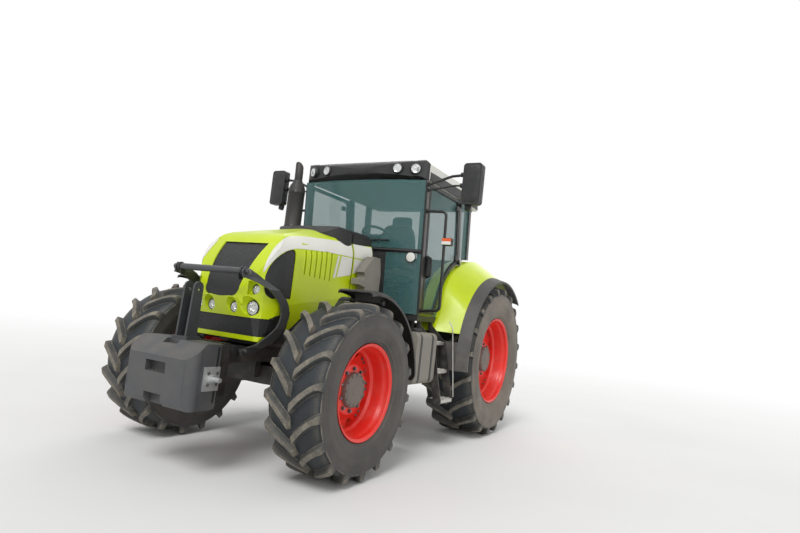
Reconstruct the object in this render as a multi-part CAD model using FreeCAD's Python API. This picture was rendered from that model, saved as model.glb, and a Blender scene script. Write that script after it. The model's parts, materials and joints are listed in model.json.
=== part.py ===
import FreeCAD, Part
import math
import os
from collections import namedtuple

# Farm tractor, four wheels, with a cab, a front ballast block and a rear three-point linkage.
# Lengths are millimetres. While a piece is drawn, x runs forward from the rear axle, y to the
# tractor's left and z up from the ground. export() moves every piece so that x = 0 lies midway
# between the ballast's front face and the balls of the lower links.

Vector = FreeCAD.Vector

# Overall layout
WHEELBASE = 2820.0
BALLAST_FRONT = 3860.0
LOWER_BALL_X = -1030.0
LOWER_BALL_RADIUS = 42.0
X_MIDDLE = (BALLAST_FRONT + LOWER_BALL_X - LOWER_BALL_RADIUS) / 2.0

# Clearances
SEAT = 0.3
RUNNING = 0.05
HINGE_GAP = 0.4

# Wheels: radius over the lugs, section width, plane of the wheel, rim and hub
FRONT_RADIUS = 691.0
FRONT_WIDTH = 480.0
FRONT_PLANE = 950.0
REAR_RADIUS = 889.0
REAR_WIDTH = 580.0
REAR_PLANE = 930.0
RIM_WALL = 10.0
DISC_WALL = 14.0

Wheel = namedtuple(
    "Wheel",
    "axle_x plane radius width flange_radius flange_depth rim_half lugs lug_height"
    " disc_radius disc_plane hub_radius hub_face hub_back",
)
WHEELS = {
    "front": Wheel(WHEELBASE, FRONT_PLANE, FRONT_RADIUS, FRONT_WIDTH, 380.0, 23.0, 205.0, 18, 45.0,
                   305.0, 62.0, 138.0, 100.0, -20.0),
    "rear": Wheel(0.0, REAR_PLANE, REAR_RADIUS, REAR_WIDTH, 508.0, 26.0, 245.0, 20, 50.0,
                  430.0, 92.0, 150.0, 138.0, -60.0),
}
SIDES = (("left", 1.0), ("right", -1.0))

# Tyre lug: share of the half width where it starts, forward lead of its inner end along the
# tread, half widths of the bar at its inner and outer ends, and the inset of its top
LUG_START = 0.04
LUG_LEAD = 185.0
LUG_HALF_INNER = 33.0
LUG_HALF_OUTER = 29.0
LUG_DRAFT = 7.0
LUG_FOOT = 70.0

# Steering
KINGPIN_Y = 800.0
KINGPIN_RADIUS = 30.0
EAR_INNER = 96.0
EAR_THICKNESS = 34.0
EAR_RADIUS = 68.0
AXLE_PIVOT_RADIUS = 45.0

# Front frame and engine
FRAME_HALF = 200.0
FRAME_BOTTOM = 800.0
FRAME_TOP = 930.0
FRAME_FRONT = WHEELBASE + 580.0
FRAME_REAR = WHEELBASE - 420.0
ENGINE_FRONT = 2590.0
ENGINE_REAR = 1760.0
ENGINE_HALF = 255.0
ENGINE_TOP = 1620.0
SUMP_BOTTOM = 560.0
COOLER_REAR = 2700.0
COOLER_FRONT = 3020.0
COOLER_HALF = 300.0
COOLER_TOP = 1640.0

# Hood skin, seam and hinge
SKIN = 9.0
SEAM_X = 2150.0
SEAM_GAP = 20.0
HOOD_HALF = 420.0
HOOD_REAR = 1815.0
CREST_SLOPE = -0.155

# Cab
CAB_HALF = 800.0
FLOOR_TOP = 1330.0
FLOOR_THICKNESS = 60.0
ROOF_BOTTOM = 2740.0
GLASS = 8.0
PILLAR_FRONT_FOOT = 1380.0
PILLAR_FRONT_HEAD = 1486.0
PILLAR_DEPTH = 72.0
PILLAR_WIDTH = 60.0
DOOR_THICKNESS = 32.0
DOOR_GAP = 7.0

# Rear fenders: the arch follows the rear wheel
FENDER_INNER_Y = 826.0
FENDER_EDGE_Y = 1095.0
FENDER_EDGE_RADIUS = 1003.0
FENDER_OUTER_Y = 1222.0
FENDER_OUTER_RADIUS = 965.0
FENDER_WALL = 9.0


# Small geometry tools


def profile_wire(steps, place):
    """Closed wire. A step of two numbers is a corner, one of four is an arc through a point to a corner."""
    corners = [place(*step[-2:]) for step in steps]
    edges = []
    for index, step in enumerate(steps):
        start = corners[index - 1]
        end = corners[index]
        if len(step) == 4:
            edges.append(Part.Arc(start, place(*step[:2]), end).toShape())
        else:
            edges.append(Part.makeLine(start, end))
    return Part.Wire(edges)


def curve_through(points):
    """Smooth edge through the points."""
    curve = Part.BSplineCurve()
    curve.interpolate(points)
    return curve.toShape()


def side_prism(steps, y0, y1):
    """Outline in x and z, carried from y0 to y1."""
    face = Part.Face(profile_wire(steps, lambda x, z: Vector(x, y0, z)))
    return face.extrude(Vector(0, y1 - y0, 0))


def front_prism(steps, x0, x1, rise=0.0):
    """Outline in y and z, carried from x0 to x1, with a rise for each millimetre of x."""
    face = Part.Face(profile_wire(steps, lambda y, z: Vector(x0, y, z)))
    return face.extrude(Vector(x1 - x0, 0, (x1 - x0) * rise))


def plan_prism(steps, z0, z1):
    """Outline in x and y, carried from z0 to z1."""
    face = Part.Face(profile_wire(steps, lambda x, y: Vector(x, y, z0)))
    return face.extrude(Vector(0, 0, z1 - z0))


def block(x0, x1, y0, y1, z0, z1):
    return Part.makeBox(x1 - x0, y1 - y0, z1 - z0, Vector(x0, y0, z0))


def rounded_block(x0, x1, y0, y1, z0, z1, radius, axis="z"):
    """Block with its four edges along one axis rounded."""
    solid = block(x0, x1, y0, y1, z0, z1)
    lie = {"x": Vector(1, 0, 0), "y": Vector(0, 1, 0), "z": Vector(0, 0, 1)}[axis]
    edges = [edge for edge in solid.Edges if abs(edge.tangentAt(edge.FirstParameter).dot(lie)) > 0.99]
    return solid.makeFillet(radius, edges)


def cylinder(start, end, radius):
    start = Vector(*start)
    reach = Vector(*end) - start
    return Part.makeCylinder(radius, reach.Length, start, reach)


def revolve_y(outline, centre_x, centre_z):
    """Solid of revolution about a line along y. The outline is (radius, y) pairs."""
    points = [Vector(centre_x + radius, y, centre_z) for radius, y in outline]
    face = Part.Face(Part.makePolygon(points + points[:1]))
    return face.revolve(Vector(centre_x, 0, centre_z), Vector(0, 1, 0), 360)


def mirror_y(shape):
    return shape.mirror(Vector(0, 0, 0), Vector(0, 1, 0))


def on_side(shape, sign):
    """The shape as drawn on the left, or its mirror image for the right."""
    if sign > 0:
        return shape
    return mirror_y(shape)


def fuse(shapes):
    if len(shapes) == 1:
        return shapes[0]
    return shapes[0].multiFuse(shapes[1:])


def both_sides(shape):
    """The left shape with its mirror image, as solids that don't touch."""
    return Part.makeCompound(solids_of(shape) + solids_of(mirror_y(shape)))


def solids_of(shape):
    return list(shape.Solids)


def rod(points, radius, bend):
    """Round bar through the points, with a bend at each inner point."""
    points = [Vector(*point) for point in points]
    pieces = []
    here = points[0]
    for before, corner, after in zip(points, points[1:], points[2:]):
        back = (before - corner).normalize()
        ahead = (after - corner).normalize()
        half = back.getAngle(ahead) / 2.0
        start = corner + back * (bend / math.tan(half))
        centre = corner + (back + ahead).normalize() * (bend / math.sin(half))
        pieces.append(Part.makeCylinder(radius, (start - here).Length, here, start - here))
        section = Part.Face(Part.Wire(Part.makeCircle(radius, start, back)))
        pieces.append(section.revolve(centre, ahead.cross(back), 180.0 - 2.0 * math.degrees(half)))
        here = corner + ahead * (bend / math.tan(half))
    pieces.append(Part.makeCylinder(radius, (points[-1] - here).Length, here, points[-1] - here))
    return fuse(pieces)


def flat_solid(faces):
    shell = Part.makeShell([Part.Face(Part.makePolygon(list(face) + [face[0]])) for face in faces])
    solid = Part.makeSolid(shell)
    if solid.Volume < 0:
        solid.reverse()
    return solid


# Wheels


def faceted_ring(outline, count):
    """Ring about y built of flat facets. The outline is (radius, y) pairs in order round the section."""
    faces = []
    for index in range(count):
        here = 2.0 * math.pi * index / count
        there = 2.0 * math.pi * (index + 1) / count
        ring_a = [Vector(radius * math.cos(here), y, radius * math.sin(here)) for radius, y in outline]
        ring_b = [Vector(radius * math.cos(there), y, radius * math.sin(there)) for radius, y in outline]
        for corner in range(len(outline)):
            after = (corner + 1) % len(outline)
            faces.append((ring_a[corner], ring_a[after], ring_b[after], ring_b[corner]))
    return flat_solid(faces)


def drafted_bar(footprint, angle, foot, top, draft):
    """Lug bar with four flat sides. The footprint is (lead, y) corners in the tread plane at the angle."""
    outward = Vector(math.cos(angle), 0, math.sin(angle))
    along = Vector(-math.sin(angle), 0, math.cos(angle))
    low = [outward * foot + along * lead + Vector(0, y, 0) for lead, y in footprint]
    high = []
    for (lead, y), inset in zip(footprint, (draft, -draft, -draft, draft)):
        high.append(outward * top + along * (lead + inset) + Vector(0, y, 0))
    faces = [low, high]
    for index in range(4):
        after = (index + 1) % 4
        faces.append([low[index], low[after], high[after], high[index]])
    return flat_solid(faces)


def tyre(wheel):
    """Tractor tyre: a faceted casing with two rows of slanted lugs, half a pitch apart."""
    half = wheel.width / 2.0
    casing = wheel.radius - wheel.lug_height
    flat = math.cos(math.pi / wheel.lugs)
    seat = (wheel.flange_radius - wheel.flange_depth + SEAT) / flat
    bulge = wheel.flange_radius + 0.42 * (casing - wheel.flange_radius)
    # The sidewall passes the flange's inner corner, so the bead lies further in
    share = ((wheel.flange_radius + SEAT) / flat - seat) / (bulge - seat)
    bead = (wheel.rim_half - RIM_WALL - SEAT - half * share) / (1.0 - share)
    outline = [
        (seat, -bead), (bulge, -half), (casing - LUG_FOOT, -half * 0.965), (casing, -half * 0.78),
        (casing, half * 0.78), (casing - LUG_FOOT, half * 0.965), (bulge, half), (seat, bead),
    ]
    pieces = [faceted_ring(outline, wheel.lugs)]
    pitch = 2.0 * math.pi / wheel.lugs
    middle = LUG_LEAD / 2.0
    top = math.sqrt(wheel.radius ** 2 - (middle + LUG_HALF_INNER) ** 2)
    for side, offset in ((1.0, 0.0), (-1.0, 0.5)):
        start = side * half * LUG_START
        end = side * half
        footprint = [
            (-middle - LUG_HALF_INNER, start), (-middle + LUG_HALF_INNER, start),
            (middle + LUG_HALF_OUTER, end), (middle - LUG_HALF_OUTER, end),
        ]
        for index in range(wheel.lugs):
            angle = (index + offset) * pitch
            pieces.append(drafted_bar(footprint, angle, casing - LUG_FOOT, top, LUG_DRAFT))
    return fuse(pieces).removeSplitter()


def rim(wheel):
    """Rim with its two flanges and a dished disc, whose edge is cut by eight gaps."""
    seat = wheel.flange_radius - wheel.flange_depth
    half = wheel.rim_half
    barrel = revolve_y([
        (wheel.flange_radius, half), (wheel.flange_radius, half - RIM_WALL), (seat, half - RIM_WALL),
        (seat, RIM_WALL - half), (wheel.flange_radius, RIM_WALL - half), (wheel.flange_radius, -half),
        (seat - RIM_WALL, -half), (seat - RIM_WALL, half),
    ], 0, 0)
    plane = wheel.disc_plane
    inner = wheel.hub_radius + SEAT
    disc = revolve_y([
        (inner, plane), (wheel.hub_radius * 1.35, plane), (wheel.disc_radius, plane - 70.0),
        (seat - RIM_WALL * 0.5, plane - 70.0), (seat - RIM_WALL * 0.5, plane - 70.0 - DISC_WALL),
        (wheel.disc_radius - 6.0, plane - 70.0 - DISC_WALL),
        (wheel.hub_radius * 1.35 - 6.0, plane - DISC_WALL), (inner, plane - DISC_WALL),
    ], 0, 0)
    gaps = []
    for index in range(8):
        angle = math.radians(45.0 * index)
        centre = Vector(math.cos(angle), 0, math.sin(angle)) * (wheel.disc_radius + 24.0)
        tall = Part.makeCylinder(58.0, 400.0, Vector(centre.x, -200.0, centre.z), Vector(0, 1, 0))
        gaps.append(tall)
    reach = Part.makeCylinder(seat - RIM_WALL - 2.0, 500.0, Vector(0, -250, 0), Vector(0, 1, 0))
    gaps = fuse(gaps).common(reach)
    return barrel.fuse(disc.cut(gaps))


def hub(wheel):
    """Hub casting with a stepped face, out to the disc and in to the axle end."""
    radius = wheel.hub_radius
    return revolve_y([
        (0.0, wheel.hub_back), (radius * 1.12, wheel.hub_back),
        (radius * 1.12, wheel.disc_plane - DISC_WALL - SEAT - 30.0),
        (radius * 1.3, wheel.disc_plane - DISC_WALL - SEAT - 30.0),
        (radius * 1.3, wheel.disc_plane - DISC_WALL - SEAT), (radius, wheel.disc_plane - DISC_WALL - SEAT),
        (radius, wheel.hub_face - 12.0), (radius - 12.0, wheel.hub_face), (0.0, wheel.hub_face),
    ], 0, 0)


def place_wheel(shape, wheel, sign):
    moved = shape.copy()
    moved.translate(Vector(wheel.axle_x, wheel.plane, wheel.radius))
    return on_side(moved, sign)


# Front axle, knuckles and frame

AXLE_Z = FRONT_RADIUS
BEAM_HALF = 78.0
BEAM_HEIGHT = 70.0
CHEEK_GAP = 22.0
CHEEK_WIDTH = 60.0
HOUSING_RADIUS = 122.0
POST_X = WHEELBASE - 180.0
POST_Y = 672.0
POST_RADIUS = 22.0
FENDER_RADIUS = 780.0
FENDER_SHELL = 8.0
FENDER_LIP = 26.0


def front_axle():
    """Cast beam with a boss for the pivot pin, and a pair of ears for each kingpin."""
    outline = [
        (-640.0, AXLE_Z - EAR_INNER - EAR_THICKNESS), (-560.0, AXLE_Z - BEAM_HEIGHT),
        (-150.0, AXLE_Z - BEAM_HEIGHT - 15.0), (150.0, AXLE_Z - BEAM_HEIGHT - 15.0),
        (560.0, AXLE_Z - BEAM_HEIGHT), (640.0, AXLE_Z - EAR_INNER - EAR_THICKNESS),
        (715.0, AXLE_Z - EAR_INNER - EAR_THICKNESS), (715.0, AXLE_Z + EAR_INNER + EAR_THICKNESS),
        (640.0, AXLE_Z + EAR_INNER + EAR_THICKNESS), (560.0, AXLE_Z + BEAM_HEIGHT),
        (-560.0, AXLE_Z + BEAM_HEIGHT), (-640.0, AXLE_Z + EAR_INNER + EAR_THICKNESS),
        (-715.0, AXLE_Z + EAR_INNER + EAR_THICKNESS), (-715.0, AXLE_Z - EAR_INNER - EAR_THICKNESS),
    ]
    beam = front_prism(outline, WHEELBASE - BEAM_HALF, WHEELBASE + BEAM_HALF)
    ears = []
    for _, sign in SIDES:
        for level in (-1.0, 1.0):
            foot = AXLE_Z + level * (EAR_INNER + EAR_THICKNESS / 2.0) - EAR_THICKNESS / 2.0
            plate = block(WHEELBASE - EAR_RADIUS, WHEELBASE + EAR_RADIUS, 640.0, KINGPIN_Y, foot,
                          foot + EAR_THICKNESS)
            tip = cylinder((WHEELBASE, KINGPIN_Y, foot), (WHEELBASE, KINGPIN_Y, foot + EAR_THICKNESS), EAR_RADIUS)
            ears.append(on_side(plate.fuse(tip), sign))
    reach = BEAM_HALF + CHEEK_GAP - SEAT
    pivot = cylinder((WHEELBASE - reach, 0, AXLE_Z), (WHEELBASE + reach, 0, AXLE_Z), AXLE_PIVOT_RADIUS)
    hollow = []
    for _, sign in SIDES:
        hollow.append(on_side(block(WHEELBASE - BEAM_HALF, WHEELBASE + BEAM_HALF, 700.0, 760.0,
                                    AXLE_Z - EAR_INNER, AXLE_Z + EAR_INNER), sign))
    return fuse([beam, pivot] + ears).cut(fuse(hollow)).removeSplitter()


def knuckle(sign):
    """Kingpin barrel between the axle's ears, the housing behind the hub and the fender's post."""
    reach = EAR_INNER - HINGE_GAP
    barrel = cylinder((WHEELBASE, KINGPIN_Y, AXLE_Z - reach), (WHEELBASE, KINGPIN_Y, AXLE_Z + reach), 56.0)
    wheel = WHEELS["front"]
    back = wheel.plane + wheel.hub_back - SEAT
    neck = block(WHEELBASE - 50.0, WHEELBASE + 50.0, KINGPIN_Y, KINGPIN_Y + 90.0, AXLE_Z - 78.0, AXLE_Z + 78.0)
    housing = cylinder((WHEELBASE, KINGPIN_Y + EAR_RADIUS + 12.0, AXLE_Z), (WHEELBASE, back, AXLE_Z), HOUSING_RADIUS)
    level = AXLE_Z + 235.0
    reach = FENDER_RADIUS - FENDER_LIP - POST_RADIUS - 4.0
    shelf = AXLE_Z + math.sqrt(reach ** 2 - (WHEELBASE - POST_X) ** 2)
    inside = (KINGPIN_Y + EAR_RADIUS + 12.0 + back) / 2.0
    post = rod([
        (WHEELBASE - 60.0, inside, AXLE_Z + 60.0), (POST_X, inside, level), (POST_X, POST_Y, level),
        (POST_X, POST_Y, shelf), (POST_X, 1110.0, shelf),
    ], POST_RADIUS, 40.0)
    saddle = block(POST_X - 34.0, POST_X + 34.0, 850.0, 1090.0, shelf, AXLE_Z + FENDER_RADIUS)
    under = cylinder((WHEELBASE, 800.0, AXLE_Z), (WHEELBASE, 1150.0, AXLE_Z), FENDER_RADIUS - SEAT)
    return on_side(fuse([barrel, neck, housing, post, saddle.common(under)]).removeSplitter(), sign)


def front_fender(sign):
    """Curved shell over the front tyre with turned-down edges, carried by the knuckle's post."""
    inner = 775.0
    outer = 1172.0
    lip = FENDER_LIP
    top = FENDER_RADIUS + FENDER_SHELL
    outline = [
        (FENDER_RADIUS, inner + 34.0), (FENDER_RADIUS, outer - 34.0),
        (FENDER_RADIUS - 12.0, outer - FENDER_SHELL), (FENDER_RADIUS - lip, outer - FENDER_SHELL),
        (FENDER_RADIUS - lip, outer), (top - 14.0, outer), (top, outer - 30.0),
        (top, inner + 30.0), (top - 14.0, inner), (FENDER_RADIUS - lip, inner),
        (FENDER_RADIUS - lip, inner + FENDER_SHELL), (FENDER_RADIUS - 12.0, inner + FENDER_SHELL),
    ]
    points = [Vector(WHEELBASE + radius, y, AXLE_Z) for radius, y in outline]
    face = Part.Face(Part.makePolygon(points + points[:1]))
    shell = face.revolve(Vector(WHEELBASE, 0, AXLE_Z), Vector(0, 1, 0), 108.0)
    shell.rotate(Vector(WHEELBASE, 0, AXLE_Z), Vector(0, -1, 0), 176.0)
    nose = cylinder((WHEELBASE + 330.0, 970.0, AXLE_Z + 500.0), (WHEELBASE + 330.0, 970.0, AXLE_Z + 900.0), 150.0)
    keep = block(WHEELBASE - 900.0, WHEELBASE + 215.0, 700.0, 1300.0, 500.0, 1700.0)
    return on_side(shell.common(fuse([keep, nose])), sign)


def front_frame():
    """Casting in front of the engine: two rails, and the saddle that holds the axle's pivot pin."""
    rails = block(FRAME_REAR, FRAME_FRONT, -FRAME_HALF, FRAME_HALF, FRAME_BOTTOM, FRAME_TOP)
    well = block(FRAME_REAR + 60.0, FRAME_FRONT - 120.0, -FRAME_HALF + 60.0, FRAME_HALF - 60.0,
                 FRAME_BOTTOM + 40.0, FRAME_TOP)
    cheeks = []
    for x0 in (WHEELBASE - BEAM_HALF - CHEEK_GAP - CHEEK_WIDTH, WHEELBASE + BEAM_HALF + CHEEK_GAP):
        cheeks.append(block(x0, x0 + CHEEK_WIDTH, -130.0, 130.0, AXLE_Z - 30.0, FRAME_BOTTOM))
    return fuse([rails.cut(well)] + cheeks).removeSplitter()


def engine_block():
    """Engine with its sump, as one plain mass, joined to the front frame and the transmission."""
    return side_prism([
        (ENGINE_REAR, SUMP_BOTTOM + 140.0), (ENGINE_REAR + 140.0, SUMP_BOTTOM), (FRAME_REAR - 130.0, SUMP_BOTTOM),
        (FRAME_REAR - SEAT, FRAME_BOTTOM - 60.0), (FRAME_REAR - SEAT, FRAME_TOP + SEAT),
        (ENGINE_FRONT, FRAME_TOP + SEAT), (ENGINE_FRONT, ENGINE_TOP), (ENGINE_REAR, ENGINE_TOP),
    ], -ENGINE_HALF, ENGINE_HALF)


def cooling_pack():
    return rounded_block(COOLER_REAR, COOLER_FRONT, -COOLER_HALF, COOLER_HALF, FRAME_TOP + SEAT, COOLER_TOP, 40.0, "x")


# Transmission, rear axle and the hitch behind it

GEARBOX_HALF = 275.0
GEARBOX_REAR = -330.0
GEARBOX_TOP = 1180.0
AXLE_CASE_TOP = 1110.0
TRUMPET_INNER = 150.0
TRUMPET_OUTER = 118.0
SHAFT_Z = 700.0
SHAFT_RADIUS = 17.45
LOWER_PIVOT = (-150.0, 362.0, 480.0)
LOWER_BALL = (LOWER_BALL_X, 415.0, 560.0)
LINK_HEIGHT = 88.0
LINK_THICKNESS = 34.0
LINK_PIN_RADIUS = 20.0
LIFT_SHAFT_RADIUS = 42.0
ROD_PIN_RADIUS = 12.5
ROD_Y = 352.0
BALL_BORE_RADIUS = 14.25
ARM_PIVOT = (-150.0, 0.0, 1190.0)
ARM_TIP = (-590.0, 330.0, 1130.0)
ROD_FOOT = (-560.0, 372.0, 560.0)


def transmission():
    """Gearbox and differential housing, drawn as one casting with its raised rear top."""
    case = side_prism([
        (ENGINE_REAR - SEAT, 620.0), (ENGINE_REAR - SEAT, GEARBOX_TOP), (900.0, GEARBOX_TOP),
        (620.0, AXLE_CASE_TOP), (GEARBOX_REAR, AXLE_CASE_TOP), (GEARBOX_REAR, 640.0), (-200.0, 560.0),
        (350.0, 560.0), (600.0, 600.0), (1300.0, 560.0),
    ], -GEARBOX_HALF, GEARBOX_HALF)
    waist = []
    for _, sign in SIDES:
        waist.append(on_side(block(480.0, 1250.0, 215.0, GEARBOX_HALF, 560.0, 1180.0), sign))
    return case.cut(fuse(waist)).removeSplitter()


def rear_axle():
    """Two trumpet housings out to the rear hubs."""
    wheel = WHEELS["rear"]
    end = wheel.plane + wheel.hub_back - SEAT
    trumpet = revolve_y([
        (0.0, GEARBOX_HALF + SEAT), (TRUMPET_INNER + 40.0, GEARBOX_HALF + SEAT),
        (TRUMPET_INNER + 40.0, GEARBOX_HALF + 40.0), (TRUMPET_INNER, GEARBOX_HALF + 70.0),
        (TRUMPET_OUTER, end - 120.0), (TRUMPET_OUTER + 30.0, end - 60.0), (TRUMPET_OUTER + 30.0, end), (0.0, end),
    ], 0, wheel.radius)
    return both_sides(trumpet)


def lower_links():
    """Lower link: a flat bar from its pivot under the axle to the ball at its rear end."""
    px, py, pz = LOWER_PIVOT
    bx, by, bz = LOWER_BALL
    lean = (by - py) / (px - bx)
    drop = (bz - pz) / (px - bx)
    half = LINK_HEIGHT / 2.0
    back = bx + 60.0
    front = px
    shape = [
        (back, by - lean * 60.0 - LINK_THICKNESS / 2.0), (front, py - LINK_THICKNESS / 2.0),
        (front, py + LINK_THICKNESS / 2.0), (back, by - lean * 60.0 + LINK_THICKNESS / 2.0),
    ]
    bar = plan_prism(shape, pz - 200.0, bz + 200.0)
    side = side_prism([
        (back, bz - drop * 60.0 - half), (front, pz - half), (front, pz + half), (back, bz - drop * 60.0 + half),
    ], py - 200.0, by + 200.0)
    bar = bar.common(side)
    eye = cylinder((px, py - 30.0, pz), (px, py + 30.0, pz), 48.0)
    head = cylinder((bx, by - 22.0, bz), (bx, by + 22.0, bz), LOWER_BALL_RADIUS)
    neck = block(bx, back + 30.0, by - lean * 40.0 - 15.0, by - lean * 40.0 + 15.0, bz - 28.0, bz + 28.0)
    pin = cylinder((px, py - 60.0, pz), (px, py + 60.0, pz), LINK_PIN_RADIUS + RUNNING)
    ball = cylinder((bx, by - 80.0, bz), (bx, by + 80.0, bz), BALL_BORE_RADIUS)
    return both_sides(fuse([bar, eye, head, neck]).cut(fuse([pin, ball])).removeSplitter())


def link_pins():
    """Pins of the lower links and the brackets that carry them under the axle housing."""
    px, py, pz = LOWER_PIVOT
    pin = cylinder((px, py - 52.0, pz), (px, py + 62.0, pz), LINK_PIN_RADIUS)
    inner = block(px - 50.0, px + 50.0, GEARBOX_HALF - 90.0, py - 36.0, pz - 45.0, 560.0 - SEAT)
    return both_sides(fuse([pin, inner]))


# Hood and its fixed rear panel

HOOD_HINGE = (2050.0, 2060.0)
HOOD_PIN_RADIUS = 7.0
CREST_X = 2976.0
GRILLE_LAYER = 8.0

# Round lamps in the nose: y, z, radius and how far forward the glass stands. Then the scoop before
# the lamp: radius at its mouth, and how far its middle lies further out and up there
NOSE_LAMPS = (
    (300.0, 1242.0, 58.0, 3274.0, 84.0, -6.0, 16.0),
    (126.0, 1236.0, 42.0, 3298.0, 66.0, 0.0, 16.0),
    (305.0, 1388.0, 40.0, 3262.0, 58.0, -14.0, 12.0),
)
SCOOP_WALL = 4.0
SCOOP_LENGTH = 74.0


def hood_form(inset, rear, reach=0.0):
    """Outer form of the hood, moved in by the inset. The reach opens the form below and behind."""
    low = reach
    front = -inset
    top = -inset
    side = side_prism([
        (rear - reach, 1365.0 - low), (2800.0, 1200.0 - low), (2960.0, 1062.0 - low), (3120.0, 972.0 - low),
        (3272.0 + front, 985.0 - low), (3303.0 + front, 1169.0), (3355.0 + front, 1311.0),
        (3283.0 + front, 1560.0, 3128.0 + front, 1792.0 + top),
        (3065.0 + front, 1860.0 + top, CREST_X, 1895.0 + top),
        (2560.0, 2000.0 + top, 2150.0, 2100.0 + top), (rear - reach, 2150.0 + top),
    ], -500.0, 500.0)
    half = HOOD_HALF - inset
    plan = plan_prism([
        (rear - reach, -half), (2900.0, -half), (3120.0, -half + 4.0, 3250.0, -372.0 + inset),
        (3335.0 - inset, -250.0, 3362.0 - inset, 0.0), (3335.0 - inset, 250.0, 3250.0, 372.0 - inset),
        (3120.0, half - 4.0, 2900.0, half), (rear - reach, half),
    ], 800.0, 2300.0)
    foot = 355.0 - inset
    waist = 396.0 - inset
    right = [
        (foot, 975.0), (waist, 1100.0), (half, 1300.0), (half, 1640.0),
        (402.0 - inset, 1770.0 - inset * 0.5, 345.0 - inset * 0.7, 1868.0 - inset),
    ]
    arch = [(-foot, 700.0), (foot, 700.0)] + right
    arch.append((0.0, 1945.0 - inset, -345.0 + inset * 0.7, 1868.0 - inset))
    arch.append((-402.0 + inset, 1770.0 - inset * 0.5, -half, 1640.0))
    arch += [(-half, 1300.0), (-waist, 1100.0), (-foot, 975.0)]
    start = 1600.0
    rise = (start - CREST_X) * CREST_SLOPE
    lifted = [tuple(value + (rise if index % 2 else 0.0) for index, value in enumerate(step)) for step in arch]
    tunnel = front_prism(lifted, start, 3500.0, CREST_SLOPE)
    return side.common(plan).common(tunnel)


def front_grille_outline():
    return [
        (-250.0, 1782.0), (250.0, 1782.0), (186.0, 1400.0), (168.0, 1338.0, 105.0, 1322.0),
        (0.0, 1313.0, -105.0, 1322.0), (-168.0, 1338.0, -186.0, 1400.0),
    ]


def side_grille_outline():
    return [
        (2978.0, 1345.0), (3150.0, 1335.0), (3225.0, 1350.0, 3252.0, 1420.0), (3256.0, 1500.0),
        (3170.0, 1675.0, 3030.0, 1748.0), (2990.0, 1748.0, 2978.0, 1712.0),
    ]


def grown(outline, amount):
    """The outline with every corner moved out from its middle by about the amount."""
    xs = [step[-2] for step in outline]
    zs = [step[-1] for step in outline]
    middle = ((min(xs) + max(xs)) / 2.0, (min(zs) + max(zs)) / 2.0)
    half = ((max(xs) - min(xs)) / 2.0, (max(zs) - min(zs)) / 2.0)
    result = []
    for step in outline:
        moved = []
        for index, value in enumerate(step):
            axis = index % 2
            moved.append(middle[axis] + (value - middle[axis]) * (1.0 + amount / half[axis]))
        result.append(tuple(moved))
    return result


def band_region(grow):
    return block(2956.0 - grow, 3500.0, -500.0, 500.0, 1022.0 - grow, 1166.0 + grow)


def lamp_holes():
    return [cylinder((face - 200.0, y, z), (face, y, z), radius + SEAT) for y, z, radius, face, *_ in NOSE_LAMPS]


def lamp_scoop(lamp, grow):
    """Widening mouth from a lamp's rim out through the nose, grown by a wall."""
    y, z, radius, face, mouth, aside, up = lamp
    near = face - 10.0
    foot = Part.Wire(Part.makeCircle(radius + 2.0 + grow, Vector(near, y, z), Vector(1, 0, 0)))
    wide = Part.makeCircle(mouth + grow, Vector(near + SCOOP_LENGTH, y + aside, z + up), Vector(1, 0, 0))
    return Part.makeLoft([foot, Part.Wire(wide)], True, True)


def scoop_walls():
    """Walls of the scoops on one side, up to the hood's outer form."""
    outer = fuse([lamp_scoop(lamp, SCOOP_WALL) for lamp in NOSE_LAMPS])
    mouths = fuse([lamp_scoop(lamp, 0.0) for lamp in NOSE_LAMPS])
    return outer.cut(mouths).common(hood_form(0.0, SEAM_X))


def hood():
    """Hollow hood with openings for the grilles, lamps and nose band, and two goosenecks to its hinge."""
    rear = SEAM_X + SEAM_GAP / 2.0
    shell = hood_form(0.0, rear).cut(hood_form(SKIN, rear, 60.0))
    holes = [front_prism(front_grille_outline(), 3040.0, 3450.0), band_region(0.0)]
    for _, sign in SIDES:
        holes.append(on_side(side_prism(side_grille_outline(), 300.0, 470.0), sign))
        for index in range(6):
            x = 2480.0 + 72.0 * index
            slot = block(x, x + 16.0, 380.0, 470.0, 1545.0 + 4.0 * index, 1815.0 - 9.0 * index)
            holes.append(on_side(slot, sign))
        holes += [on_side(lamp_scoop(lamp, 0.0), sign) for lamp in NOSE_LAMPS]
        holes += [on_side(hole, sign) for hole in lamp_holes()]
    walls = scoop_walls().cut(fuse(lamp_holes()))
    shell = shell.cut(fuse(holes)).fuse(both_sides(walls))
    hx, hz = HOOD_HINGE
    arms = []
    for _, sign in SIDES:
        neck = side_prism([
            (hx - 16.0, hz + 4.0), (hx - 46.0, hz - 112.0), (hx - 30.0, hz - 135.0), (hx + 142.0, hz - 135.0),
            (hx + 160.0, hz - 112.0), (hx + 175.0, hz - 8.0), (hx + 120.0, hz - 6.0), (hx + 118.0, hz - 105.0),
            (hx - 18.0, hz - 108.0), (hx + 12.0, hz - 8.0),
        ], 50.0, 66.0)
        eye = cylinder((hx, 50.0, hz), (hx, 66.0, hz), 14.0)
        bore = cylinder((hx, 40.0, hz), (hx, 76.0, hz), HOOD_PIN_RADIUS + RUNNING)
        arms.append(on_side(neck.fuse(eye).cut(bore), sign))
    return fuse([shell] + arms)


def hood_layer(region):
    """Sheet that seats behind the hood's skin, within the region."""
    rear = SEAM_X + SEAM_GAP / 2.0 + 200.0
    outer = hood_form(SKIN + SEAT, rear, 30.0)
    inner = hood_form(SKIN + SEAT + GRILLE_LAYER, rear, 60.0)
    return outer.cut(inner).common(region)


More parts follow.
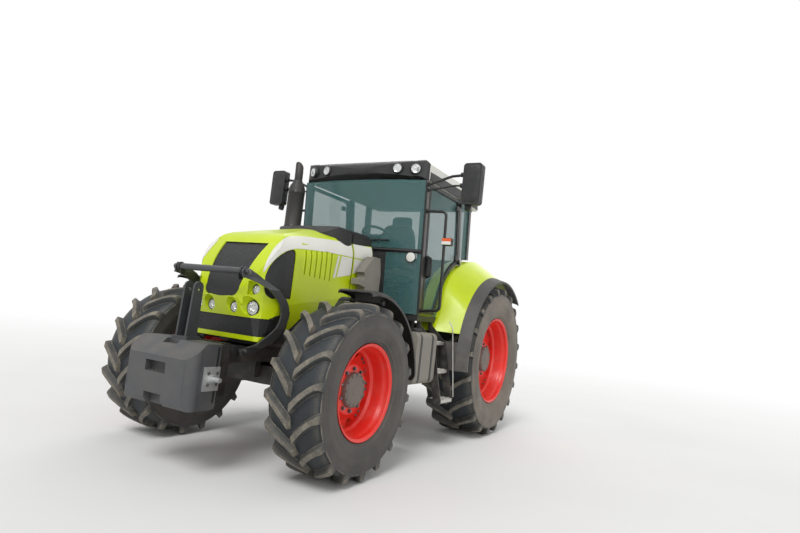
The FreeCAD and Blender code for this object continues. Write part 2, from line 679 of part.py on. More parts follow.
def front_grille():
    """Dark nose panel with rows of slots between plain borders."""
    sheet = hood_layer(front_prism(grown(front_grille_outline(), 14.0), 3020.0, 3450.0))
    slots = []
    for index in range(9):
        z = 1425.0 + 34.0 * index
        half = 150.0 + (z - 1400.0) * 0.16
        slots.append(block(3000.0, 3450.0, -half, -12.0, z, z + 14.0))
        slots.append(block(3000.0, 3450.0, 12.0, half, z, z + 14.0))
    return sheet.cut(fuse(slots))


def side_grilles():
    """Dark side panels with slots that follow the curved front edge."""
    sheet = hood_layer(side_prism(grown(side_grille_outline(), 14.0), 300.0, 470.0))
    slots = []
    for index in range(9):
        z = 1372.0 + 38.0 * index
        front = 3225.0 - max(0.0, z - 1500.0) * 0.72
        slots.append(block(3000.0, front, 300.0, 470.0, z, z + 14.0))
    return both_sides(sheet.cut(fuse(slots + lamp_holes())))


def hood_grilles():
    """The dark panels that seat behind the hood's openings: nose, both sides and the band below."""
    band = hood_layer(band_region(13.0))
    scoops = both_sides(fuse([lamp_scoop(lamp, SCOOP_WALL + SEAT) for lamp in NOSE_LAMPS]))
    sheets = solids_of(front_grille()) + solids_of(side_grilles()) + solids_of(band)
    return together(*[sheet.cut(scoops) for sheet in sheets])


def headlamps():
    """Lamp bodies in the nose, with a domed glass."""
    lamps = []
    for y, z, radius, face, *_ in NOSE_LAMPS:
        body = cylinder((face - 70.0, y, z), (face, y, z), radius)
        dome = Part.makeSphere(radius * 2.2, Vector(face - radius * 1.95, y, z))
        cap = dome.common(cylinder((face - 1.0, y, z), (face + 40.0, y, z), radius * 0.98))
        lamps.append(body.fuse(cap).removeSplitter())
    return both_sides(Part.makeCompound(lamps))


def scuttle_form(inset, front, rear):
    """Dark dome over the rear of the hood, from the windscreen forward."""
    side = side_prism([
        (rear, 1850.0), (2480.0, 1850.0), (2480.0, 1980.0),
        (2340.0, 2070.0 - inset, 2150.0, 2103.0 - inset), (1980.0, 2118.0 - inset, 1800.0, 2112.0 - inset),
        (rear, 2110.0 - inset),
    ], -400.0, 400.0)
    arch = front_prism([
        (-400.0, 1850.0), (400.0, 1850.0), (400.0, 1925.0), (365.0, 2060.0, 270.0 - inset, 2085.0 - inset),
        (0.0, 2122.0 - inset, -270.0 + inset, 2085.0 - inset), (-365.0, 2060.0, -400.0, 1925.0),
    ], rear, 2600.0)
    plan = plan_prism([
        (rear, -395.0), (2150.0, -385.0), (2430.0, -300.0, 2470.0, 0.0), (2430.0, 300.0, 2150.0, 385.0),
        (rear, 395.0),
    ], 1800.0, 2200.0)
    solid = side.common(arch).common(plan)
    return solid.common(block(rear, front, -500.0, 500.0, 1800.0, 2200.0))


def hood_cap():
    """The part of the dome that lifts with the hood."""
    start = SEAM_X + SEAM_GAP / 2.0
    return scuttle_form(0.0, 2600.0, start).cut(hood_form(-SEAT, start, 20.0))


def scuttle():
    """The part of the dome that stays with the cab."""
    return scuttle_form(0.0, SEAM_X - SEAM_GAP / 2.0, HOOD_REAR).cut(hood_form(-SEAT, HOOD_REAR, 20.0))


def hood_rear_panel():
    """Fixed panels behind the seam, with the hood's hinge pin held under their top."""
    front = SEAM_X - SEAM_GAP / 2.0
    shell = hood_form(0.0, HOOD_REAR).cut(hood_form(SKIN, HOOD_REAR, 60.0))
    shell = shell.common(block(HOOD_REAR, front, -500.0, 500.0, 1300.0, 2300.0))
    hx, hz = HOOD_HINGE
    pieces = [shell, cylinder((hx, -88.0, hz), (hx, 88.0, hz), HOOD_PIN_RADIUS)]
    for _, sign in SIDES:
        cheek = block(hx - 16.0, hx + 16.0, 74.0, 88.0, hz - 16.0, hz + 15.0)
        pieces.append(on_side(cheek, sign))
    inner_foot = block(HOOD_REAR, front, ENGINE_HALF - 5.0, HOOD_HALF - SKIN + 2.0, 1560.0, 1580.0)
    for _, sign in SIDES:
        pieces.append(on_side(inner_foot.cut(block(1500.0, 2400.0, -ENGINE_HALF - SEAT, ENGINE_HALF + SEAT,
                                                   1500.0, 1700.0)), sign))
    return fuse(pieces)


# Ballast block, its carrier, the mast and the guard

GUARD_PIVOT = (3360.0, 912.0)
GUARD_PIN_RADIUS = 14.0
GUARD_BAR = (3479.0, 1515.0)
GUARD_BAR_RADIUS = 26.0
GUARD_BAR_HALF = 352.0
ARM_WIDTH = 74.0
ARM_PLATE = 16.0
BALLAST_HALF = 356.0
BALLAST_REAR = 3590.0
CARRIER_FRONT = 3540.0
BALLAST_TOP = 960.0
BALLAST_BOTTOM = 490.0


def guard_plates():
    """Two curved flat arms, bent outward round the nose, that turn on the pins of the carrier."""
    px, pz = GUARD_PIVOT
    bx, bz = GUARD_BAR
    half = ARM_WIDTH / 2.0
    outline = [
        (px, pz - half, px + half, pz - 4.0), (3252.0, 985.0, 3130.0, 1130.0), (3110.0, 1230.0, 3180.0, 1330.0),
        (3290.0, 1405.0, bx + 24.0, bz - 50.0), (bx + 40.0, bz), (bx + 10.0, bz + 34.0), (bx - 30.0, bz + 22.0),
        (3240.0, 1450.0, 3110.0, 1360.0), (3020.0, 1235.0, 3046.0, 1120.0), (3120.0, 965.0, px - half, pz - 22.0),
    ]
    sheet = side_prism(outline, 250.0, 520.0)
    # The plate's middle, seen from the front: y and z
    course = (
        (338.0, 850.0), (338.0, 930.0), (386.0, 968.0), (408.0, 1018.0), (448.0, 1100.0), (448.0, 1400.0),
        (378.0, 1478.0), (378.0, 1600.0),
    )
    left = [(y - ARM_PLATE / 2.0, z) for y, z in course]
    right = [(y + ARM_PLATE / 2.0, z) for y, z in reversed(course)]
    band = front_prism(left + right, 2950.0, 3600.0)
    arm = sheet.common(band)
    pin = cylinder((px, 300.0, pz), (px, 400.0, pz), GUARD_PIN_RADIUS + RUNNING)
    return both_sides(arm.cut(pin))


def guard_bar():
    """Round cross bar between the arms' heads, with a knob at each end."""
    bx, bz = GUARD_BAR
    reach = 378.0 - ARM_PLATE / 2.0 - SEAT
    bar = cylinder((bx, -reach, bz), (bx, reach, bz), GUARD_BAR_RADIUS)
    knob = cylinder((bx, 378.0 + ARM_PLATE / 2.0 + SEAT, bz), (bx, 378.0 + ARM_PLATE / 2.0 + 26.0, bz), 22.0)
    return Part.makeCompound([bar] + solids_of(both_sides(knob)))


def guard():
    return Part.makeCompound(solids_of(guard_plates()) + solids_of(guard_bar()))


def ballast_carrier():
    """Casting bolted to the frame's front, which carries the ballast and the guard's pins."""
    px, pz = GUARD_PIVOT
    back = FRAME_FRONT + SEAT
    plate = block(back, back + 50.0, -240.0, 240.0, 560.0, 955.0)
    boxes = []
    for _, sign in SIDES:
        box = rounded_block(back + 40.0, CARRIER_FRONT, 90.0, 285.0, 600.0, 945.0, 18.0, "y")
        boxes.append(on_side(box, sign))
        ear = side_prism([
            (back, 840.0), (back, 950.0), (px - 10.0, pz + 30.0), (px - 34.0, pz), (px - 10.0, pz - 34.0),
        ], 205.0, 300.0)
        pin = cylinder((px, 290.0, pz), (px, 362.0, pz), GUARD_PIN_RADIUS)
        collar = cylinder((px, 346.0 + 2.0, pz), (px, 362.0, pz), GUARD_PIN_RADIUS + 8.0)
        boxes.append(on_side(fuse([ear, cylinder((px, 205.0, pz), (px, 300.0, pz), 32.0), pin, collar]), sign))
    beam = block(back + 45.0, CARRIER_FRONT, -120.0, 120.0, 640.0, 900.0)
    return fuse([plate, beam] + boxes).removeSplitter()


def ballast():
    """Cast ballast block: bevelled top, drawn-in sides, a handle slot and a notch in its face."""
    rear = CARRIER_FRONT + SEAT
    front = BALLAST_FRONT
    side = side_prism([
        (rear, 560.0), (BALLAST_REAR, BALLAST_BOTTOM + 10.0), (BALLAST_REAR + 40.0, BALLAST_BOTTOM),
        (front - 40.0, BALLAST_BOTTOM), (front - 8.0, BALLAST_BOTTOM + 40.0), (front, 842.0),
        (front - 132.0, BALLAST_TOP), (rear, BALLAST_TOP),
    ], -400.0, 400.0)
    half = BALLAST_HALF
    plan = plan_prism([
        (rear, -300.0), (BALLAST_REAR - 40.0, -300.0), (BALLAST_REAR, -half), (front - 110.0, -half),
        (front - 30.0, -half + 22.0, front, -half + 120.0), (front, half - 120.0),
        (front - 30.0, half - 22.0, front - 110.0, half), (BALLAST_REAR, half), (BALLAST_REAR - 40.0, 300.0),
        (rear, 300.0),
    ], 400.0, 1000.0)
    body = side.common(plan)
    cuts = [
        block(front - 60.0, front + 10.0, -108.0, 108.0, 722.0, 800.0),
        block(front - 70.0, front + 10.0, -92.0, 92.0, 400.0, 572.0),
        block(front - 160.0, front + 10.0, -75.0, 75.0, BALLAST_TOP - 34.0, 1000.0),
        block(BALLAST_REAR + 10.0, BALLAST_REAR + 34.0, half - 26.0, 400.0, 540.0, 940.0),
        block(BALLAST_REAR + 10.0, BALLAST_REAR + 34.0, -400.0, -half + 26.0, 540.0, 940.0),
    ]
    return body.cut(fuse(cuts))


def ballast_pins():
    """Square plates bolted to the ballast's sides, each with a hitch pin."""
    x = 3660.0
    plate = block(x - 68.0, x + 72.0, BALLAST_HALF + SEAT, BALLAST_HALF + 14.0, 630.0, 800.0)
    pin = cylinder((x, BALLAST_HALF + 10.0, 716.0), (x, BALLAST_HALF + 96.0, 716.0), 17.0)
    collar = cylinder((x, BALLAST_HALF + 10.0, 716.0), (x, BALLAST_HALF + 34.0, 716.0), 30.0)
    return both_sides(fuse([plate, pin, collar]).removeSplitter())


def ballast_mast():
    """Upright of two plates on a foot, with a bored eye at its head."""
    x = 3620.0
    foot = block(x - 62.0, x + 68.0, -82.0, 82.0, BALLAST_TOP + SEAT, BALLAST_TOP + 24.0)
    plates = []
    for _, sign in SIDES:
        cheek = side_prism([
            (x - 44.0, BALLAST_TOP + 20.0), (x + 58.0, BALLAST_TOP + 20.0), (x + 40.0, 1360.0),
            (x + 10.0, 1398.0, x - 44.0, 1360.0),
        ], 42.0, 60.0)
        plates.append(on_side(cheek, sign))
    web = block(x - 44.0, x - 30.0, -50.0, 50.0, BALLAST_TOP + 20.0, 1290.0)
    bore = cylinder((x - 8.0, -90.0, 1338.0), (x - 8.0, 90.0, 1338.0), 12.9)
    return fuse([foot, web] + plates).cut(bore).removeSplitter()


def ballast_fittings():
    return Part.makeCompound(solids_of(ballast_pins()) + solids_of(ballast_mast()))


# Cab

SCREEN_FOOT = PILLAR_FRONT_FOOT + PILLAR_DEPTH / 2.0 + GLASS + 1.0
SCREEN_BULGE = 76.0
SCREEN_HALF = CAB_HALF - 13.0
SCREEN_LEAN = (PILLAR_FRONT_HEAD - PILLAR_FRONT_FOOT) / (ROOF_BOTTOM - FLOOR_TOP)
SCREEN_BOTTOM = FLOOR_TOP + 6.0
BAR_BOTTOM = 1965.0
BAR_TOP = 2010.0
SCUTTLE_HALF = 340.0
SCUTTLE_REAR = 1572.0
FIREWALL_REAR = 1548.0
REAR_WALL = 190.0
TUB_HALF = CAB_HALF - 204.0

# Door outline, seen from the side: x and z at the corners
DOOR_FRONT_FOOT = (1336.0, 1352.0)
DOOR_FRONT_HEAD = (1438.0, 2722.0)
DOOR_REAR_HEAD = (652.0, 2722.0)
DOOR_REAR_FOOT = (540.0, 1985.0)
DOOR_ARC = (836.0, 1776.0, 955.0, 1545.0)
DOOR_HEEL = (1036.0, 1352.0)
DOOR_HINGE_LOW = (531.0, 1990.0)
DOOR_HINGE_HIGH = (634.0, 2660.0)
DOOR_PIN_RADIUS = 6.0
HEEL_GAP = 1.0
REAR_SILL = 2062.0

# Rear fender stations: the inner edge in x and z, and the angle of the outer edge round the axle
FENDER_STATIONS = (
    (1040.0, 1185.0, 17.0), (1005.0, 1245.0, 21.0), (935.0, 1370.0, 29.0), (888.0, 1540.0, 41.0),
    (795.0, 1758.0, 56.0), (520.0, 1955.0, 75.0), (120.0, 2066.0, 90.0), (-250.0, 2030.0, 105.0),
    (-520.0, 1880.0, 119.0), (-680.0, 1670.0, 131.0),
)


def pillar_x(z):
    return PILLAR_FRONT_FOOT + (z - FLOOR_TOP) * SCREEN_LEAN


def front_pillars():
    half = PILLAR_DEPTH / 2.0
    low = FLOOR_TOP + SEAT
    high = ROOF_BOTTOM - SEAT
    pillar = side_prism([
        (pillar_x(low) - half, low), (pillar_x(low) + half, low), (pillar_x(high) + half, high),
        (pillar_x(high) - half, high),
    ], CAB_HALF - PILLAR_WIDTH, CAB_HALF)
    return both_sides(pillar)


def screen_sheet():
    """Curved glass that leans with the front pillars."""
    foot = SCREEN_FOOT
    bulge = SCREEN_BULGE
    half = SCREEN_HALF
    face = Part.Face(profile_wire([
        (foot, -half), (foot + bulge, 0.0, foot, half), (foot - GLASS, half), (foot - GLASS + bulge, 0.0,
                                                                             foot - GLASS, -half),
    ], lambda x, y: Vector(x, y, SCREEN_BOTTOM)))
    height = ROOF_BOTTOM - 4.0 - SCREEN_BOTTOM
    return face.extrude(Vector(height * SCREEN_LEAN, 0, height))


def windscreen():
    return screen_sheet().common(block(1300.0, 1800.0, -900.0, 900.0, BAR_TOP + SEAT, 2800.0))


def lower_windows():
    lower = block(1300.0, 1800.0, SCUTTLE_HALF + 60.0, 900.0, 1200.0, BAR_BOTTOM - SEAT)
    return both_sides(screen_sheet().common(lower))


def screen_bar():
    """Cross bar between the windscreen and the two lower windows, with the panel below it."""
    bar = screen_sheet().common(block(1300.0, 1800.0, -900.0, 900.0, BAR_BOTTOM, BAR_TOP))
    panel = screen_sheet().common(block(1300.0, 1800.0, -SCUTTLE_HALF - 60.0 + SEAT, SCUTTLE_HALF + 60.0 - SEAT,
                                        1200.0, BAR_TOP))
    return bar.fuse(panel).removeSplitter()


def firewall():
    """Housing between the engine and the cab's front panel."""
    return block(FIREWALL_REAR, ENGINE_REAR - SEAT, -SCUTTLE_HALF, SCUTTLE_HALF, 1180.0 + SEAT, 1850.0 - SEAT)


def cab_floor():
    """Floor plate with its side sills."""
    low = FLOOR_TOP - FLOOR_THICKNESS
    plate = block(REAR_WALL, 1416.0, -TUB_HALF, TUB_HALF, low, FLOOR_TOP)
    sills = []
    for _, sign in SIDES:
        sills.append(on_side(side_prism([
            (1000.0, low), (1416.0, low), (1416.0, FLOOR_TOP), (966.0, FLOOR_TOP),
        ], TUB_HALF - 10.0, CAB_HALF), sign))
    stands = []
    for x0, foot in ((330.0, AXLE_CASE_TOP), (1290.0, GEARBOX_TOP)):
        for _, sign in SIDES:
            stands.append(on_side(block(x0, x0 + 90.0, 120.0, 210.0, foot + SEAT, low + 5.0), sign))
    return fuse([plate] + sills + stands).removeSplitter()


def rear_wall():
    """Lower rear wall of the cab, between the fenders."""
    return block(REAR_WALL - 30.0, REAR_WALL - SEAT, -TUB_HALF, TUB_HALF, FLOOR_TOP - FLOOR_THICKNESS, REAR_SILL)


def rear_pillars():
    """Rear corner posts on the fenders, and the posts that the doors hang on."""
    high = ROOF_BOTTOM - SEAT
    posts = []
    corner = side_prism([(REAR_WALL - 30.0, 2078.0), (REAR_WALL + 26.0, 2078.0), (REAR_WALL + 76.0, high),
                         (REAR_WALL + 20.0, high)], CAB_HALF - 100.0, CAB_HALF - 30.0)
    posts += solids_of(both_sides(corner))
    lean = (DOOR_REAR_HEAD[0] - DOOR_REAR_FOOT[0]) / (DOOR_REAR_HEAD[1] - DOOR_REAR_FOOT[1])
    edge = DOOR_REAR_FOOT[0] - DOOR_GAP
    low = 1985.0
    post = side_prism([
        (edge - 62.0, low), (edge - 12.0, low), (edge - 12.0 + (high - low) * lean, high),
        (edge - 62.0 + (high - low) * lean, high),
    ], CAB_HALF - 60.0, CAB_HALF - 4.0)
    posts += solids_of(both_sides(post))
    return Part.makeCompound(posts)


def quarter_windows():
    """Fixed glass between the door post and the rear corner post."""
    lean = (DOOR_REAR_HEAD[0] - DOOR_REAR_FOOT[0]) / (DOOR_REAR_HEAD[1] - DOOR_REAR_FOOT[1])
    edge = DOOR_REAR_FOOT[0] - DOOR_GAP - 62.0 - SEAT
    high = ROOF_BOTTOM - SEAT
    low = 2076.0
    glass = side_prism([
        (REAR_WALL + 27.0, low), (edge + (low - 1985.0) * lean, low), (edge + (high - 1985.0) * lean, high),
        (REAR_WALL + 77.0, high),
    ], CAB_HALF - 52.0, CAB_HALF - 52.0 + GLASS)
    return both_sides(glass)


def rear_window():
    half = CAB_HALF - 100.0 - SEAT
    face = [
        (REAR_WALL - 14.0, REAR_SILL + SEAT), (REAR_WALL - 14.0 + GLASS, REAR_SILL + SEAT),
        (REAR_WALL + 34.0 + GLASS, ROOF_BOTTOM - SEAT), (REAR_WALL + 34.0, ROOF_BOTTOM - SEAT),
    ]
    return side_prism(face, -half, half)


def door_outline(inset):
    """Outline of a door, drawn in by the inset from its edges."""
    ax, az, bx, bz = DOOR_ARC
    return [
        (DOOR_FRONT_FOOT[0] - inset, DOOR_FRONT_FOOT[1] + inset), (DOOR_FRONT_HEAD[0] - inset, DOOR_FRONT_HEAD[1] - inset),
        (DOOR_REAR_HEAD[0] + inset, DOOR_REAR_HEAD[1] - inset), (DOOR_REAR_FOOT[0] + inset * 1.1, DOOR_REAR_FOOT[1] + inset * 0.8),
        (ax + inset * 0.7, az + inset * 0.7, bx + inset, bz + inset * 0.2),
        (DOOR_HEEL[0] + inset, DOOR_HEEL[1] + inset),
    ]


def arch_zone(grow):
    """All that lies under the rear fender's inner arch, grown by a clearance."""
    points = []
    for x, z, _ in FENDER_STATIONS:
        reach = math.hypot(x, z - REAR_RADIUS)
        share = (reach + grow) / reach
        points.append(Vector(x * share, 0, REAR_RADIUS + (z - REAR_RADIUS) * share))
    wire = Part.Wire([curve_through(points), Part.makeLine(points[-1], points[0])])
    return Part.Face(wire).extrude(Vector(0, CAB_HALF, 0))


def heel_windows():
    """Narrow fixed glass that fills the corner between the door and the fender's arch."""
    strip = block(700.0, 1070.0, CAB_HALF - 24.0, CAB_HALF - 24.0 + GLASS, FLOOR_TOP + SEAT, 2000.0)
    doorway = side_prism(door_outline(-DOOR_GAP), CAB_HALF - 60.0, CAB_HALF + 10.0)
    return both_sides(strip.cut(doorway).cut(arch_zone(HEEL_GAP)))


def door_frame(sign):
    """Narrow door frame with its handle and two hinge eyes."""
    outer = side_prism(door_outline(0.0), CAB_HALF - DOOR_THICKNESS, CAB_HALF)
    window = side_prism(door_outline(36.0), CAB_HALF - DOOR_THICKNESS - 10.0, CAB_HALF + 10.0)
    frame = outer.cut(window)
    handle = rounded_block(1306.0, 1336.0, CAB_HALF, CAB_HALF + 34.0, 1750.0, 1945.0, 10.0, "z")
    handle.translate(Vector(18.0, 0, 0))
    pieces = [frame, handle]
    start = Vector(DOOR_HINGE_LOW[0], CAB_HALF + 14.0, DOOR_HINGE_LOW[1])
    end = Vector(DOOR_HINGE_HIGH[0], CAB_HALF + 14.0, DOOR_HINGE_HIGH[1])
    along = (end - start).normalize()
    for centre in (start, end):
        centre = centre + along * 12.0
        eye = Part.makeCylinder(13.0, 26.0, centre, along)
        strap = block(centre.x - 4.0, centre.x + 72.0, CAB_HALF - 1.0, CAB_HALF + 8.0, centre.z + 2.0, centre.z + 24.0)
        pieces.append(eye.fuse(strap))
    bore = Part.makeCylinder(DOOR_PIN_RADIUS + RUNNING, 1200.0, start - along * 200.0, along)
    return on_side(fuse(pieces).cut(bore).removeSplitter(), sign)


def door_glass(sign):
    glass = side_prism(door_outline(36.0 + SEAT), CAB_HALF - 20.0, CAB_HALF - 20.0 + GLASS)
    return on_side(glass, sign)


def door_hinges():
    """Hinge pins on the door posts, under and through the doors' eyes."""
    start = Vector(DOOR_HINGE_LOW[0], CAB_HALF + 14.0, DOOR_HINGE_LOW[1])
    end = Vector(DOOR_HINGE_HIGH[0], CAB_HALF + 14.0, DOOR_HINGE_HIGH[1])
    along = (end - start).normalize()
    solids = []
    for centre in (start, end):
        leaf = Part.makeCylinder(13.0, 22.0, centre - along * 10.4, along)
        pin = Part.makeCylinder(DOOR_PIN_RADIUS, 48.0, centre, along)
        strap = block(centre.x - 66.0, centre.x + 6.0, CAB_HALF - 4.0 + SEAT, CAB_HALF + 8.0, centre.z - 12.0, centre.z + 10.0)
        solids += solids_of(both_sides(fuse([leaf, pin, strap])))
    return Part.makeCompound(solids)


def roof_form():
    low = ROOF_BOTTOM
    wide = CAB_HALF
    side = side_prism([
        (-62.0, low + 160.0, -70.0, low + 60.0), (-30.0, low), (1500.0, low), (1545.0, low + 22.0),
        (1612.0, low + 60.0), (1622.0, low + 110.0, 1575.0, low + 185.0), (1500.0, low + 222.0),
        (700.0, low + 260.0, -20.0, low + 195.0),
    ], -wide - 200.0, wide + 200.0)
    plan = plan_prism([
        (-70.0, 200.0 - wide), (-40.0, 70.0 - wide, 60.0, 20.0 - wide), (1380.0, -wide),
        (1520.0, 20.0 - wide, 1560.0, 160.0 - wide), (1622.0, 0.0, 1560.0, wide - 160.0),
        (1520.0, wide - 20.0, 1380.0, wide), (60.0, wide - 20.0), (-40.0, wide - 70.0, -70.0, wide - 200.0),
    ], low - 40.0, low + 360.0)
    arch = front_prism([
        (-wide - 30.0, low - 40.0), (wide + 30.0, low - 40.0), (wide + 22.0, low + 90.0),
        (wide - 10.0, low + 190.0, wide - 160.0, low + 210.0), (0.0, low + 245.0, 160.0 - wide, low + 210.0),
        (10.0 - wide, low + 190.0, -wide - 22.0, low + 90.0),
    ], -200.0, 1800.0)
    return side.common(plan).common(arch)


VISOR_REAR = 1488.0

# Work lamps in the roof: y, z and radius
ROOF_LAMPS = ((675.0, ROOF_BOTTOM + 110.0, 56.0), (466.0, ROOF_BOTTOM + 116.0, 52.0))


def roof_lamp_body(y, z, radius, grow):
    length = 60.0
    reach = 1622.0 - 62.0 * (y / 640.0) ** 2 if y < 640.0 else 1536.0
    tilt = Vector(1.0, 0.25 if y > 600.0 else 0.12, -0.1).normalize()
    centre = Vector(reach - 12.0, y, z)
    return Part.makeCylinder(radius + grow, length, centre - tilt * (length - 6.0), tilt)


def lamp_seats():
    seats = []
    for y, z, radius in ROOF_LAMPS:
        for _, sign in SIDES:
            seats.append(on_side(roof_lamp_body(y, z, radius, SEAT), sign))
    return fuse(seats)


def roof():
    return roof_form().common(block(-200.0, VISOR_REAR, -CAB_HALF, CAB_HALF, ROOF_BOTTOM, ROOF_BOTTOM + 360.0)).cut(lamp_seats())


def visor():
    """Dark front of the roof, with round seats for the work lamps."""
    return roof_form().common(block(VISOR_REAR + SEAT, 1800.0, -CAB_HALF, CAB_HALF, ROOF_BOTTOM, ROOF_BOTTOM + 360.0)).cut(lamp_seats())


def roof_lamps():
    lamps = [roof_lamp_body(y, z, radius, 0.0) for y, z, radius in ROOF_LAMPS]
    return both_sides(Part.makeCompound(lamps))


def seat():
    base = block(600.0, 960.0, -170.0, 170.0, FLOOR_TOP + SEAT, 1700.0)
    cushion = rounded_block(560.0, 1060.0, -250.0, 250.0, 1700.0, 1820.0, 60.0, "z")
    back = side_prism([(560.0, 1790.0), (680.0, 1790.0), (610.0, 2420.0), (520.0, 2420.0)], -230.0, 230.0)
    rests = [on_side(block(600.0, 960.0, 252.0, 330.0, 1880.0, 1935.0), sign) for _, sign in SIDES]
    posts = [on_side(block(620.0, 680.0, 245.0, 300.0, 1780.0, 1900.0), sign) for _, sign in SIDES]
    return fuse([base, cushion, back] + rests + posts).removeSplitter()


def dash():
    """Console under the steering wheel."""
    return side_prism([
        (1180.0, FLOOR_TOP + SEAT), (1380.0, FLOOR_TOP + SEAT), (1400.0, 1900.0), (1430.0, 2060.0, 1330.0, 2090.0),
        (1240.0, 2060.0), (1200.0, 1900.0),
    ], -150.0, 150.0)


def steering_wheel():
    """Wheel on its column. The column stands on the console."""
    centre = Vector(1100.0, 0, 2190.0)
    lean = Vector(-0.5, 0, 0.866)
    grip = []
    for index in range(8):
        turn = math.radians(45.0 * index + 22.5)
        grip.append(centre + Vector(0, 185.0 + 15.0 * math.cos(turn), 0) + lean * (15.0 * math.sin(turn)))
    ring = Part.Face(Part.makePolygon(grip + grip[:1])).revolve(centre, lean, 360)
    hub_disc = Part.makeCylinder(52.0, 26.0, centre - lean * 22.0, lean)
    spokes = []
    for angle in (90.0, 210.0, 330.0):
        bar = Part.makeBox(186.0, 24.0, 12.0, Vector(0, -12, -6))
        bar.rotate(Vector(0, 0, 0), Vector(0, 0, 1), angle)
        bar.rotate(Vector(0, 0, 0), Vector(0, 1, 0), -30.0)
        bar.translate(centre - lean * 8.0)
        spokes.append(bar)
    column = Part.makeCylinder(34.0, 240.0, centre - lean * 250.0, lean)
    return fuse([ring, hub_disc, column] + spokes).cut(dash()).removeSplitter()


def together(*shapes):
    """Pieces of one body that don't touch, as one node."""
    return Part.makeCompound([solid for shape in shapes for solid in solids_of(shape)])


def cab_pillars():
    return together(front_pillars(), rear_pillars())


def cab_windows():
    return together(windscreen(), lower_windows(), quarter_windows(), heel_windows(), rear_window())


def cab_panels():
    return together(screen_bar(), rear_wall(), firewall())


def cab_lamps():
    return together(roof_lamps(), side_lamps())


# Fenders


def rear_fenders():
    """Green fender: a deep inner arch that flares down to an edge round the tyre."""
    axle_z = REAR_RADIUS

    def band(y, inset):
        """Closed outline at one y: a smooth curve through the stations, and the same drawn in by the inset."""
        outer = []
        inner = []
        for x, z, angle in FENDER_STATIONS:
            if y <= FENDER_INNER_Y:
                px, pz = x, z
            else:
                turn = math.radians(angle)
                px = FENDER_EDGE_RADIUS * math.cos(turn)
                pz = axle_z + FENDER_EDGE_RADIUS * math.sin(turn)
            reach = math.hypot(px, pz - axle_z)
            outer.append(Vector(px, y, pz))
            share = (reach - inset) / reach
            inner.append(Vector(px * share, y, axle_z + (pz - axle_z) * share))
        edges = [curve_through(outer), Part.makeLine(outer[-1], inner[-1])]
        edges += [curve_through(inner[::-1]), Part.makeLine(inner[0], outer[0])]
        return Part.Wire(edges)

    wall = FENDER_WALL
    shell = Part.makeLoft([band(FENDER_INNER_Y, wall * 1.3), band(FENDER_EDGE_Y, wall)], True, True)
    arch = Part.Face(band(TUB_HALF + SEAT, wall * 1.3)).extrude(Vector(0, FENDER_INNER_Y - TUB_HALF - SEAT, 0))
    return both_sides(fuse([shell, arch]))


def fender_extensions():
    """Dark edge strip outside the fender, which runs on down in front of the tyre."""
    wheel = WHEELS["rear"]
    wall = FENDER_WALL

    def swept(outline, start, sweep):
        points = [Vector(radius, y, wheel.radius) for radius, y in outline]
        face = Part.Face(Part.makePolygon(points + points[:1]))
        arc = face.revolve(Vector(0, 0, wheel.radius), Vector(0, -1, 0), sweep)
        arc.rotate(Vector(0, 0, wheel.radius), Vector(0, -1, 0), start)
        return arc

    edge = FENDER_EDGE_Y + SEAT
    strip = swept([
        (FENDER_EDGE_RADIUS, edge), (FENDER_OUTER_RADIUS, FENDER_OUTER_Y), (FENDER_OUTER_RADIUS - 24.0, FENDER_OUTER_Y),
        (FENDER_OUTER_RADIUS - 24.0, FENDER_OUTER_Y - wall), (FENDER_OUTER_RADIUS - wall, FENDER_OUTER_Y - wall),
        (FENDER_EDGE_RADIUS - wall, edge),
    ], -6.0, 137.0)
    apron = swept([
        (FENDER_EDGE_RADIUS, edge + 1.0), (FENDER_EDGE_RADIUS - wall, edge + 1.0), (FENDER_EDGE_RADIUS - wall, 838.0),
        (FENDER_EDGE_RADIUS, 838.0),
    ], -6.0, 17.5)
    return both_sides(strip.fuse(apron).removeSplitter())


# Things at the cab's sides

TANK_FRONT = WHEELBASE - 1000.0
TANK_REAR = 1385.0
TANK_INNER = 430.0
TANK_OUTER = 1035.0
TANK_BOTTOM = 668.0
TANK_TOP = 1165.0

# Step treads: y of the outer edge and z of the top
STEP_TREADS = ((1120.0, 505.0), (1035.0, 790.0), (965.0, 1075.0))


def tanks():
    """Tank with rounded edges, on two brackets from the gearbox."""
    body = block(TANK_REAR, TANK_FRONT, TANK_INNER, TANK_OUTER, TANK_BOTTOM, TANK_TOP)
    long_edges = [edge for edge in body.Edges if abs(edge.tangentAt(edge.FirstParameter).x) > 0.99
                  and edge.CenterOfMass.y > TANK_INNER + 10.0]
    body = body.makeFillet(55.0, long_edges)
    brackets = []
    for x0 in (TANK_REAR + 60.0, TANK_FRONT - 150.0):
        inner = GEARBOX_HALF if x0 < ENGINE_REAR - 60.0 else ENGINE_HALF
        brackets.append(block(x0, x0 + 50.0, inner + SEAT, TANK_INNER + 10.0, 700.0, 780.0))
    return both_sides(fuse([body] + brackets).removeSplitter())


def steps():
    """Three treads between two leaning side plates, hung under the cab's sill."""
    low = FLOOR_TOP - FLOOR_THICKNESS - SEAT
    pieces = []
    for x0 in (1060.0, 1338.0):
        plate = front_prism([
            (885.0 - 120.0, low), (CAB_HALF, low), (CAB_HALF + 20.0, low - 40.0), (985.0, 1078.0), (1122.0, 505.0),
            (1122.0, 462.0), (1050.0, 462.0), (905.0, 1040.0), (885.0 - 120.0, 1200.0),
        ], x0, x0 + 14.0)
        pieces.append(plate)
    for y, z in STEP_TREADS:
        pieces.append(block(1064.0, 1348.0, y - 150.0, y, z - 38.0, z))
    return both_sides(fuse(pieces).removeSplitter())


def pillar_foot(z, radius):
    """Round foot of a rail or an arm on the front pillar's outer face."""
    x = pillar_x(z)
    return cylinder((x, CAB_HALF + SEAT, z), (x, CAB_HALF + 12.0, z), radius)


